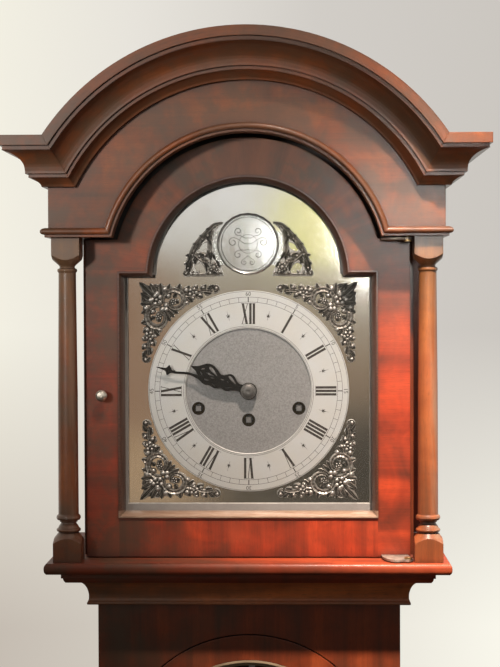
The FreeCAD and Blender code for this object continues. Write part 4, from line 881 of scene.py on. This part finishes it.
ARM_STEM = ((86.6, 58.5, 2.8), (85.6, 52.6, 2.3), (87.8, 46.8, 2.1), (89.6, 41.4, 2.0), (89.8, 36.4, 1.8),
            (88.8, 32.0, 1.6))
ARM_RING = spiral((91.2, 82.6), (3.6, 3.2), 200.0, 0.96, (1.6, 1.4))
ARM_CURL = spiral((92.0, 29.4), (3.4, 1.2), 160.0, 0.95, (1.6, 1.1))
CORNERS = ("upper_right", "lower_right", "lower_left", "upper_left")


class CLOCK_OT_cast_spandrels(bpy.types.Operator):
    """Pierced leaf-and-scroll castings for the four corners"""
    bl_idname = "clock.cast_spandrels"
    bl_label = "Cast the corner spandrels"

    def execute(self, context):
        rise = sizes().casting_rise
        form = bmesh.new()
        self.arm(form, lambda u, v: (u, v), rise, 1.0)
        self.arm(form, lambda u, v: (v, u), rise, -1.0)
        leaf(form, (84.0, 84.0), (97.5, 97.5), 7.6, 0.0, rise)
        flower(form, (82.0, 82.0), 6.4, rise * 1.15, 0.3)
        bud(form, (73.4, 73.4), 3.0, rise)
        leaf(form, (72.6, 72.6), (66.2, 66.2), 5.0, 0.0, rise * 0.8)
        mesh = closed_mesh("corner_casting", form, 50.0)
        finish = oxidised("oxidised_casting")
        centre = Vector((DIAL_X, 0.0, DIAL_Z))
        for quarter, corner in enumerate(CORNERS):
            turned_mesh = mesh.copy()
            turned_mesh.transform(Matrix.Translation(centre) @ Matrix.Rotation(FULL_TURN / 4 * quarter, 4, "Y")
                                  @ Matrix.Translation(-centre))
            replaced = ("corner_spandrels",) if quarter == 0 else ()
            piece_of("spandrel_" + corner, turned_mesh, "case", "oxidised_brass", finish, *replaced)
        bpy.data.meshes.remove(mesh)
        return {"FINISHED"}

    def arm(self, form, at, rise, hand):
        """One arm of the casting, from the corner towards the end of the ring."""
        relief(form, at, hand, ARM_LEAVES, ARM_BUDS, rise * 0.92, rise * 0.95)
        scroll(form, at, ARM_RING, rise * 0.85, 2)
        scroll(form, at, ARM_LOOP, rise)
        scroll(form, at, ARM_STEM, rise * 0.9)
        scroll(form, at, ARM_CURL, rise * 0.9, 2)
        flower(form, at(88.6, 49.4), 5.0, rise * 1.1, 0.9)
        flower(form, at(80.2, 66.8), 3.4, rise * 0.95, 0.2)


# One mount beside the boss, in millimetres right of and above the boss centre
MOUNT_LEAVES = (
    (33, 13, 37.8, 13.4, 3.4, 0.6), (40, 6.6, 43.6, 8.2, 3, -0.4), (46, -1, 49.8, 0.6, 3, 0.4),
    (51, -9, 56.2, -10, 3.2, -0.5), (53.4, -16, 57.4, -18.4, 3, 0.4), (37, 6, 32.6, -1, 3.6, -0.8),
    (51.6, -13, 50.4, -21.6, 4.2, 0.8), (45, -12.4, 48.8, -17.4, 3.6, 0.6), (38.6, -16, 37, -24.4, 3.6, -0.8),
    (28, -14.4, 24.6, -20.8, 3.6, 0.5), (32, 15, 35.4, 3.6, 4.6, 0.8), (36, 10.6, 41.6, 1, 5, 0.9),
    (41.4, 4, 48.2, -7.6, 5.4, 0.9), (47.6, -4.4, 52.8, -15.6, 5, 0.8), (52, -12, 55.6, -23, 4.6, 0.6),
    (36.4, -5.4, 33, -14.4, 4.8, -0.5), (44.6, -8.6, 36.4, -11.4, 4.6, -0.6), (41, -14, 35, -20.6, 4.6, 0.5),
    (50.4, -15, 53.6, -25.6, 4.2, -0.5), (35.4, -22.4, 27.2, -27, 3.8, -0.5), (29, -14, 33.6, -6.6, 3.4, 0.4),
    (47.6, -11.4, 46.8, -18.2, 4.2, 0.5))
MOUNT_BUDS = ((44.6, -24.6, 1.4), (49.6, -24.8, 1.2), (38.4, -9.8, 1.9), (28.6, 15.6, 1.5), (34.6, -15.6, 1.7),
              (43.6, -10.6, 1.6), (49.8, -9.6, 1.7), (53.6, -21.6, 1.6), (40.6, 4.4, 1.5), (35.8, 7.6, 1.6),
              (36.6, -25.4, 1.5), (25.6, -24.8, 1.5))
# Stems of the mount: share of the relief, steps between points, and the points with half widths
MOUNT_STEMS = (
    (0.8, 6, ((22.6, 19.0, 1.2), (30.0, 17.0, 2.0), (36.0, 11.0, 2.6), (42.4, 4.0, 2.8), (47.6, -2.6, 2.7),
              (51.6, -10.4, 2.3), (54.0, -19.0, 1.8))),
    (0.9, 2, spiral((56.0, -25.6), (2.9, 0.9), 110.0, 1.0, (1.4, 0.9))),
    (0.8, 6, ((53.0, -27.2, 1.2), (46.0, -27.8, 1.3), (38.0, -27.6, 1.4), (30.0, -27.6, 1.4), (22.5, -26.4, 1.2))),
    (0.7, 6, ((31.6, 12.0, 1.4), (34.0, 4.0, 1.9), (34.4, -5.0, 2.0), (33.4, -12.0, 1.4))),
    (0.75, 6, ((49.6, -7.0, 1.6), (45.0, -11.0, 2.3), (40.0, -14.6, 2.3), (35.6, -15.4, 1.6))))
ROSETTE, ROSETTE_REACH, ROSETTE_EYE, ROSETTE_PETAL = (30.4, -20.6), 3.4, 2.2, 1.35
# Flat ground under the mount, and the two holes in it
GROUND_EDGE = ((22.0, 19.9), (29.3, 18.6), (32.9, 15.0), (37.8, 11.2), (43.0, 4.6), (48.0, -1.2), (51.6, -8.6),
               (54.6, -14.6), (56.2, -20.0), (58.0, -25.4), (57.0, -29.2), (53.0, -28.9), (33.9, -29.0),
               (21.4, -28.4), (23.6, -21.4), (28.6, -15.2), (31.2, -7.4), (31.6, 0.0), (31.2, 6.4), (28.6, 12.6))
GROUND_HOLES = (
    ((45.7, -4.6), (42.4, -0.8), (36.2, 1.4), (37.6, -3.6), (40.0, -5.4), (43.0, -6.6)),
    ((48.4, -19.6), (44.2, -17.0), (39.8, -19.6), (38.0, -25.0), (41.4, -26.2), (45.6, -25.4)))
GROUND_THICKNESS, RIM_THICKNESS, SHEET_BEVEL = 1.6 * MM, 2.2 * MM, 0.2 * MM
# Scalloped border: first angle and sweep in degrees, steps, and its radii in millimetres
RIM_START, RIM_SWEEP, RIM_STEPS, RIM_INNER, RIM_OUTER = -42.0, 66.0, 72, 27.6, 31.0
# Profile of the boss: shares of its radius and depth, and the depth of the scallops on its edge
BOSS_ROWS = ((1.0, 0.0, 0.016), (1.0, 0.45, 0.016), (0.975, 0.80, 0.016), (0.945, 0.93, 0.016), (0.915, 0.86),
             (0.905, 0.78), (0.60, 0.86), (0.30, 0.92), (0.02, 0.95))
BOSS_CIRCLES, CIRCLE_HALF = (0.86, 0.845, 0.30), 0.12 * MM
# Engraved curls of the boss: centre, radii, first angle, turns, and the stem that leaves the curl
FLOURISHES = (((8.6, 11.2), (3.8, 0.8), 250.0, 1.3, ((6.0, 7.0), (2.0, 5.0), (0.0, 5.6))),
              ((13.4, 1.6), (4.2, 0.9), 120.0, -1.3, ((8.0, 3.6), (3.6, 0.6), (0.0, 0.0))),
              ((8.8, -9.6), (3.6, 0.8), 100.0, -1.2, ((5.4, -5.4), (2.4, -5.6), (0.0, -4.6))),
              ((3.4, -16.4), (2.8, 0.7), 80.0, -1.2, ((2.0, -12.4), (0.6, -11.0), (0.0, -10.4))))


class CLOCK_OT_cast_arch_mounts(bpy.types.Operator):
    """Pierced leafy mounts beside the boss, and the boss with engraved circles and curls"""
    bl_idname = "clock.cast_arch_mounts"
    bl_label = "Cast the arch mounts"

    def execute(self, context):
        rise = sizes().casting_rise
        lift = (BOSS_Z - DIAL_Z) / MM
        finish = bpy.data.materials["oxidised_casting"]
        silver = silvered("bright_silvering", 0.90, 0.16, 0.90)
        for hand, side in ((-1.0, "left"), (1.0, "right")):
            def at(u, v):
                return hand * u, lift + v
            form = bmesh.new()
            relief(form, at, hand, MOUNT_LEAVES, MOUNT_BUDS, rise * 0.95, rise * 0.9)
            for share, steps, rows in MOUNT_STEMS:
                scroll(form, at, rows, rise * share, steps)
            bud(form, at(*ROSETTE), ROSETTE_EYE, rise)
            for centre in circle(at(*ROSETTE), ROSETTE_REACH, 8):
                bud(form, centre, ROSETTE_PETAL, rise * 0.8, 4, 12)
            replaced = ("arch_mounts",) if hand < 0 else ()
            solid("arch_mount_" + side, form, 50.0, "case", "oxidised_brass", finish, *replaced)
            holes = [curve_through(hole + hole[:1], 4)[:-1] for hole in GROUND_HOLES]
            self.sheet("arch_mount_ground_" + side, at, [GROUND_EDGE] + holes, GROUND_THICKNESS, "oxidised_brass",
                       finish)
            self.sheet("boss_rim_" + side, at, [self.rim()], RIM_THICKNESS, "silvered_brass", silver)
        self.boss(silver)
        return {"FINISHED"}

    def sheet(self, name, at, outlines, thickness, slot, finish):
        """Makes a flat piece on the dial from outlines placed by at."""
        placed = [[at(u, v) for u, v in outline] for outline in outlines]
        piece_of(name, cut_plate(name, placed, thickness, SHEET_BEVEL, 0.0, DIAL_FRONT), "case", slot, finish)

    def rim(self):
        """Outline of the scalloped silver border between the boss and one mount."""
        outer, inner = [], []
        for n in range(RIM_STEPS + 1):
            angle = math.radians(RIM_START + RIM_SWEEP * n / RIM_STEPS)
            narrow = 3.2 * max(0.0, abs(2 * n / RIM_STEPS - 1.0) - 0.86) / 0.14
            reach = RIM_OUTER + 0.9 * abs(math.sin(math.pi * n / 12)) - narrow
            outer.append(polar((0.0, 0.0), reach, angle))
            inner.append(polar((0.0, 0.0), RIM_INNER, angle))
        return outer + inner[::-1]

    def boss(self, silver):
        """Turned boss and the wax in its engraving."""
        steps = sizes().turning_steps * 2
        form = bmesh.new()
        lathe(form, [(BOSS_RADIUS * share, DIAL_FRONT - BOSS_DEPTH * height, *scallop)
                     for share, height, *scallop in BOSS_ROWS], steps, BOSS_Z)
        solid("silvered_boss", form, 35.0, "case", "silvered_brass", silver, "arch_boss")
        form = bmesh.new()
        back, front = DIAL_FRONT - BOSS_DEPTH * 0.80, DIAL_FRONT - BOSS_DEPTH * 0.97
        for share in BOSS_CIRCLES:
            radius = BOSS_RADIUS * share
            annulus(form, radius - CIRCLE_HALF, radius + CIRCLE_HALF, back, front, steps, BOSS_Z)
        for flip in (-1.0, 1.0):
            for *curl, stem in FLOURISHES:
                line = [row[:2] for row in reversed(spiral(*curl, count=40))] + list(stem)
                self.engrave(form, curve_through([(flip * u, v) for u, v in line], 3), back, front)
        solid("boss_engraving", form, 30.0, "case", "blued_steel", bpy.data.materials["dial_black_wax"])

    def engrave(self, form, line, back, front):
        """Hair line that swells in the middle, in millimetres from the boss centre."""
        for n, (one, two) in enumerate(zip(line, line[1:])):
            start, end = Vector(one) * MM, Vector(two) * MM
            step = end - start
            if step.length < 1e-8:
                continue
            wide = (0.11 + 0.13 * math.sin(math.pi * n / len(line))) * MM
            edge = Vector((-step.y, step.x)).normalized() * wide
            corners = [start - edge, end - edge, end + edge, start + edge]
            prism(form, [(DIAL_X + c.x, BOSS_Z + c.y) for c in corners], back, front)


# Hands in millimetres above the dial centre: height, half width and any sideways shift; holes as base, tip and width
HOUR_ROWS = ((5.0, 4.0), (9.5, 2.8), (13.0, 4.2), (17.0, 7.2), (21.0, 7.6), (25.0, 4.8), (28.5, 4.0), (33.0, 6.6),
             (38.0, 8.6), (43.0, 8.2), (47.0, 5.2), (49.4, 3.2), (52.0, 1.8), (56.0, 0.4))
HOUR_HOLES = (
    (-1.2, 12.8, -5.4, 21.4, 3.2), (-1.2, 31.0, -6.0, 40.6, 3.8), (-1.0, 46.8, -3.0, 43.8, 1.6),
    (1.2, 12.8, 5.4, 21.4, 3.2), (1.2, 31.0, 6.0, 40.6, 3.8), (1.0, 46.8, 3.0, 43.8, 1.6),
    (0.0, 27.4, 0.0, 19.6, 2.2), (0.0, 33.6, 0.0, 41.6, 2.0))
MINUTE_ROWS = (
    (4.6, 3.6), (10.0, 2.0), (15.0, 3.4, 0.4), (20.0, 5.4, 0.6), (25.0, 3.6, 0.2), (30.0, 4.8, -0.4),
    (35.0, 3.4, -0.5), (40.0, 4.4, 0.2), (45.0, 2.2, 0.6), (50.0, 1.3, 1.3), (56.0, 1.1, 1.7), (62.0, 1.1, 0.7),
    (67.0, 1.1, -0.4), (71.0, 1.5, -0.4), (74.0, 4.6), (76.4, 1.6), (80.0, 0.9), (85.0, 0.25))
MINUTE_HOLES = (
    (-0.3, 14.6, -3.0, 20.8, 2.2), (-0.8, 34.6, -3.4, 29.6, 1.9), (1.1, 14.6, 4.2, 20.8, 2.2),
    (0.4, 34.6, 2.6, 29.6, 1.9), (0.3, 36.6, 0.2, 42.4, 2.6))
HAND_BEVEL, COLLET_BORE, COLLET_PROUD = 0.14 * MM, 3.2 * MM, 0.25 * MM
# Profile of the hand nut: radius in millimetres and share of its depth
NUT_ROWS = ((6.9, 0.0), (6.9, 0.34), (6.5, 0.46), (5.9, 0.46), (5.7, 0.58), (4.8, 0.78), (3.4, 0.93), (1.9, 1.0),
            (1.5, 0.97), (1.2, 0.84), (0.1, 0.84))


class CLOCK_OT_make_hands(bpy.types.Operator):
    """Pierced serpentine hour and minute hands, and their nut"""
    bl_idname = "clock.make_hands"
    bl_label = "Make the hands"

    def execute(self, context):
        size = sizes()
        steel = metal("darkened_hand_steel", finishes().hand, 0.34, 0.30, 200.0, 0.8)
        self.lay("hour_hand", HOUR_ROWS, 3.0, HOUR_HOLES, size.hour_angle, 7.6 * MM, steel)
        self.lay("minute_hand", MINUTE_ROWS, 2.4, MINUTE_HOLES, size.minute_angle, 6.6 * MM, steel)
        low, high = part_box("hand_nut")
        form = bmesh.new()
        rows = [(radius * MM, high.y - (high.y - low.y) * share) for radius, share in NUT_ROWS]
        lathe(form, rows, size.turning_steps)
        pale = metal("pale_nut", (0.84, 0.82, 0.78), 0.40, 0.15, 90.0, 0.55)
        solid("domed_hand_nut", form, 35.0, "minute_hand", "brass", pale, "hand_nut")
        return {"FINISHED"}

    def lay(self, hand, rows, bore, holes, turn, collet, steel):
        """Makes one hand and its collet; body and node have the hand's name."""
        low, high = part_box(hand)
        name = "pierced_" + hand
        outlines = [hand_outline(rows), circle((0.0, 0.0), bore)] + [drop(*hole) for hole in holes]
        mesh = cut_plate(name, outlines, high.y - low.y, HAND_BEVEL, turn, high.y)
        piece_of(name, mesh, hand, "blued_steel", steel, hand)
        hub = bmesh.new()
        annulus(hub, COLLET_BORE, collet, high.y, low.y - COLLET_PROUD, sizes().turning_steps)
        solid(name + "_collet", hub, 30.0, hand, "blued_steel", steel)


# Lamp: place, target, width, power, colour, cone in degrees and squeeze of its height
LAMPS = {
    "key_lamp": ((0.16, -0.745, 2.40), (0.38, -0.05, 1.070), 0.075, 240.0, (1.0, 0.82, 0.70), 48.0, 0.39),
    "fill_lamp": ((-1.05, -2.3, 1.74), (-0.15, -0.08, 1.49), 0.26, 124.0, (1.0, 0.95, 0.90), 15.5, 1.0),
    "window_lamp": ((0.330, -2.5, 1.550), (0.13, -0.05, 1.44), 0.26, 30.0, (1.0, 0.98, 0.94), 12.0, 1.0),
}
# Wall behind the clock from left to right, above and below eye level, and the room before it from floor to ceiling
WALL_UPPER = ((0.06, (0.890, 0.862, 0.760)), (0.30, (0.800, 0.770, 0.710)), (0.62, (0.640, 0.610, 0.570)),
              (0.95, (0.600, 0.570, 0.530)))
WALL_LOWER = ((0.06, (0.560, 0.505, 0.442)), (0.50, (0.700, 0.660, 0.590)), (0.95, (0.950, 0.930, 0.835)))
ROOM = ((0.35, (0.090, 0.077, 0.060)), (0.41, (0.140, 0.114, 0.084)), (0.455, (0.290, 0.198, 0.125)),
        (0.515, (0.420, 0.366, 0.280)), (0.535, (0.740, 0.720, 0.660)), (0.560, (0.970, 0.960, 0.950)),
        (0.80, (0.800, 0.780, 0.720)))
# Patches of the room, in direction shares right and up: centre, half size, soft edge and colour
PATCHES = (((-0.105, -0.030), (0.030, 0.055), 0.024, (0.345, 0.212, 0.135)),
           ((0.016, 0.046), (0.026, 0.024), 0.012, (1.0, 0.95, 0.34)),
           ((0.045, -0.105), (0.050, 0.030), 0.025, (0.065, 0.054, 0.041)),
           ((-0.090, -0.108), (0.034, 0.026), 0.020, (0.52, 0.36, 0.22)))
AMBIENT_FRONT, AMBIENT_REAR = (0.042, 0.040, 0.038, 1.0), (0.34, 0.33, 0.32, 1.0)
FLOOR_RADIUS, FLOOR_GLOW, FLOOR_UNSEEN = 2.4, 0.72, (0.10, 0.07, 0.05, 1.0)
IMAGE_HEIGHT, FOCAL_PIXELS, SENSOR_WIDTH = 667, 1591.0, 36.0
CAMERA_PLACE = (0.0393, -1.4479, 1.3700)
CAMERA_YAW, CAMERA_PITCH, CAMERA_ROLL = 0.0266, -0.0211, 0.0035


class CLOCK_OT_set_stage(bpy.types.Operator):
    """Pale floor, soft lamps, surroundings and the camera"""
    bl_idname = "clock.set_stage"
    bl_label = "Set the stage"

    def execute(self, context):
        self.floor()
        self.surroundings()
        for name, lamp in LAMPS.items():
            self.lamp(name, *lamp)
        self.camera()
        bpy.context.scene.view_settings.view_transform = "Standard"
        return {"FINISHED"}

    def stand(self, name, data):
        thing = bpy.data.objects.new(name, data)
        bpy.context.scene.collection.objects.link(thing)
        return thing

    def floor(self):
        """Round floor, pale to the camera, dark to the clock's reflections, with the clock's shadow on it."""
        form = bmesh.new()
        bmesh.ops.create_circle(form, cap_ends=True, cap_tris=True, segments=128, radius=FLOOR_RADIUS)
        mesh = bpy.data.meshes.new("floor")
        form.to_mesh(mesh)
        form.free()
        paint = begin("pale_floor")
        cloud = paint.noise(paint.coords, 3.0, 4.0)
        pale = paint.ramp(cloud, (0.3, (0.76, 0.75, 0.72)), (0.7, (0.82, 0.81, 0.78)))
        shown = paint.put("LightPath").outputs["Is Camera Ray"]
        surface = paint.put("BsdfPrincipled", {"Base Color": paint.choose(shown, FLOOR_UNSEEN, pale), "Roughness": 0.7})
        glow = paint.put("Emission", {"Color": pale, "Strength": 1.0})
        mix = paint.put("MixShader", {0: paint.times(shown, FLOOR_GLOW), 1: surface.outputs[0], 2: glow.outputs[0]})
        paint.put("OutputMaterial", {0: mix.outputs[0]})
        mesh.materials.append(paint.holder)
        self.stand("floor", mesh)

    def surroundings(self):
        """Pale wall for the camera, and a room before the clock that shows only in reflections."""
        paint = Paint(bpy.data.worlds.new("studio"), "Generated")
        bpy.context.scene.world = paint.holder
        across = paint.line(paint.x, 2.9, 0.58)
        sink = paint.ramp(paint.times(paint.z, -1.0), (0.02, 0.0), (0.20, 1.0))
        wall = paint.choose(sink, paint.ramp(across, *WALL_UPPER), paint.ramp(across, *WALL_LOWER))
        room = paint.ramp(paint.calc("ADD", paint.z, 0.5), *ROOM)
        for *place, colour in PATCHES:
            room = paint.choose(self.patch(paint, *place), room, opaque(colour))
        ahead = paint.calc("GREATER_THAN", paint.y, 0.0)
        rays = paint.put("LightPath").outputs
        camera, glossy, through = (rays["Is %s Ray" % kind] for kind in ("Camera", "Glossy", "Transmission"))
        backdrop = paint.choose(camera, paint.choose(ahead, room, wall), wall)
        seen = paint.put("Background", {"Color": backdrop, "Strength": 1.0})
        ambient = paint.choose(ahead, AMBIENT_FRONT, AMBIENT_REAR)
        lit = paint.put("Background", {"Color": ambient, "Strength": 1.0})
        shown = paint.calc("MAXIMUM", camera, paint.calc("MAXIMUM", glossy, through))
        mix = paint.put("MixShader", {0: shown, 1: lit.outputs[0], 2: seen.outputs[0]})
        paint.put("OutputWorld", {0: mix.outputs[0]})

    def patch(self, paint, centre, half, soft):
        """Share of a soft-edged patch of the room."""
        shares = []
        for part, middle, reach in zip((paint.x, paint.z), centre, half):
            off = paint.calc("ABSOLUTE", paint.calc("SUBTRACT", part, middle))
            edge = paint.put("MapRange", {0: off, 1: reach + soft / 2, 2: reach - soft / 2},
                             interpolation_type="SMOOTHSTEP")
            shares.append(edge.outputs[0])
        return paint.times(*shares)

    def lamp(self, name, spot, target, width, power, colour, cone, squeeze):
        """Round lamp with a soft-edged cone, squeezed in height by a share."""
        data = set_up(bpy.data.lights.new(name, "SPOT"), spot_size=math.radians(cone), spot_blend=1.0,
                      shadow_soft_size=width / 2, energy=power, color=colour)
        turn = (Vector(target) - Vector(spot)).to_track_quat("-Z", "Y").to_euler()
        set_up(self.stand(name, data), location=spot, rotation_euler=turn, scale=(1.0, squeeze, 1.0))

    def camera(self):
        """Camera where the photograph was taken."""
        data = set_up(bpy.data.cameras.new("photo_camera"), sensor_width=SENSOR_WIDTH,
                      lens=FOCAL_PIXELS * SENSOR_WIDTH / IMAGE_HEIGHT, clip_start=0.05)
        camera = self.stand("photo_camera", data)
        turn = (Matrix.Rotation(CAMERA_YAW, 4, "Z") @ Matrix.Rotation(CAMERA_PITCH, 4, "X")
                @ Matrix.Rotation(CAMERA_ROLL, 4, "Y") @ Matrix.Rotation(math.pi / 2, 4, "X"))
        camera.matrix_world = Matrix.Translation(CAMERA_PLACE) @ turn
        bpy.context.scene.camera = camera


class CLOCK_PT_workshop(bpy.types.Panel):
    """Lists the steps of the clock and its sizes and finishes"""
    bl_idname = "CLOCK_PT_workshop"
    bl_label = "Grandmother Clock"
    bl_space_type = "VIEW_3D"
    bl_region_type = "UI"
    bl_category = "Clock"

    def draw(self, context):
        for step in STEPS:
            self.layout.operator(step.bl_idname)
        for group in (context.scene.clock_sizes, context.scene.clock_finishes):
            for key in group.__annotations__:
                self.layout.prop(group, key)


STEPS = (
    CLOCK_OT_polish_case,
    CLOCK_OT_glaze_doors,
    CLOCK_OT_finish_fittings,
    CLOCK_OT_finish_dial_plate,
    CLOCK_OT_make_chapter_ring,
    CLOCK_OT_cast_spandrels,
    CLOCK_OT_cast_arch_mounts,
    CLOCK_OT_make_hands,
    CLOCK_OT_set_stage,
)
CLASSES = (ClockSizes, ClockFinishes) + STEPS + (CLOCK_PT_workshop,)


def register():
    for kind in CLASSES:
        bpy.utils.register_class(kind)
    bpy.types.Scene.clock_sizes = PointerProperty(type=ClockSizes)
    bpy.types.Scene.clock_finishes = PointerProperty(type=ClockFinishes)


def unregister():
    del bpy.types.Scene.clock_finishes
    del bpy.types.Scene.clock_sizes
    for kind in reversed(CLASSES):
        bpy.utils.unregister_class(kind)


def main():
    register()
    bpy.ops.clock.polish_case()
    bpy.ops.clock.glaze_doors()
    bpy.ops.clock.finish_fittings()
    bpy.ops.clock.finish_dial_plate()
    bpy.ops.clock.make_chapter_ring()
    bpy.ops.clock.cast_spandrels()
    bpy.ops.clock.cast_arch_mounts()
    bpy.ops.clock.make_hands()
    bpy.ops.clock.set_stage()


if __name__ == "__main__":
    main()
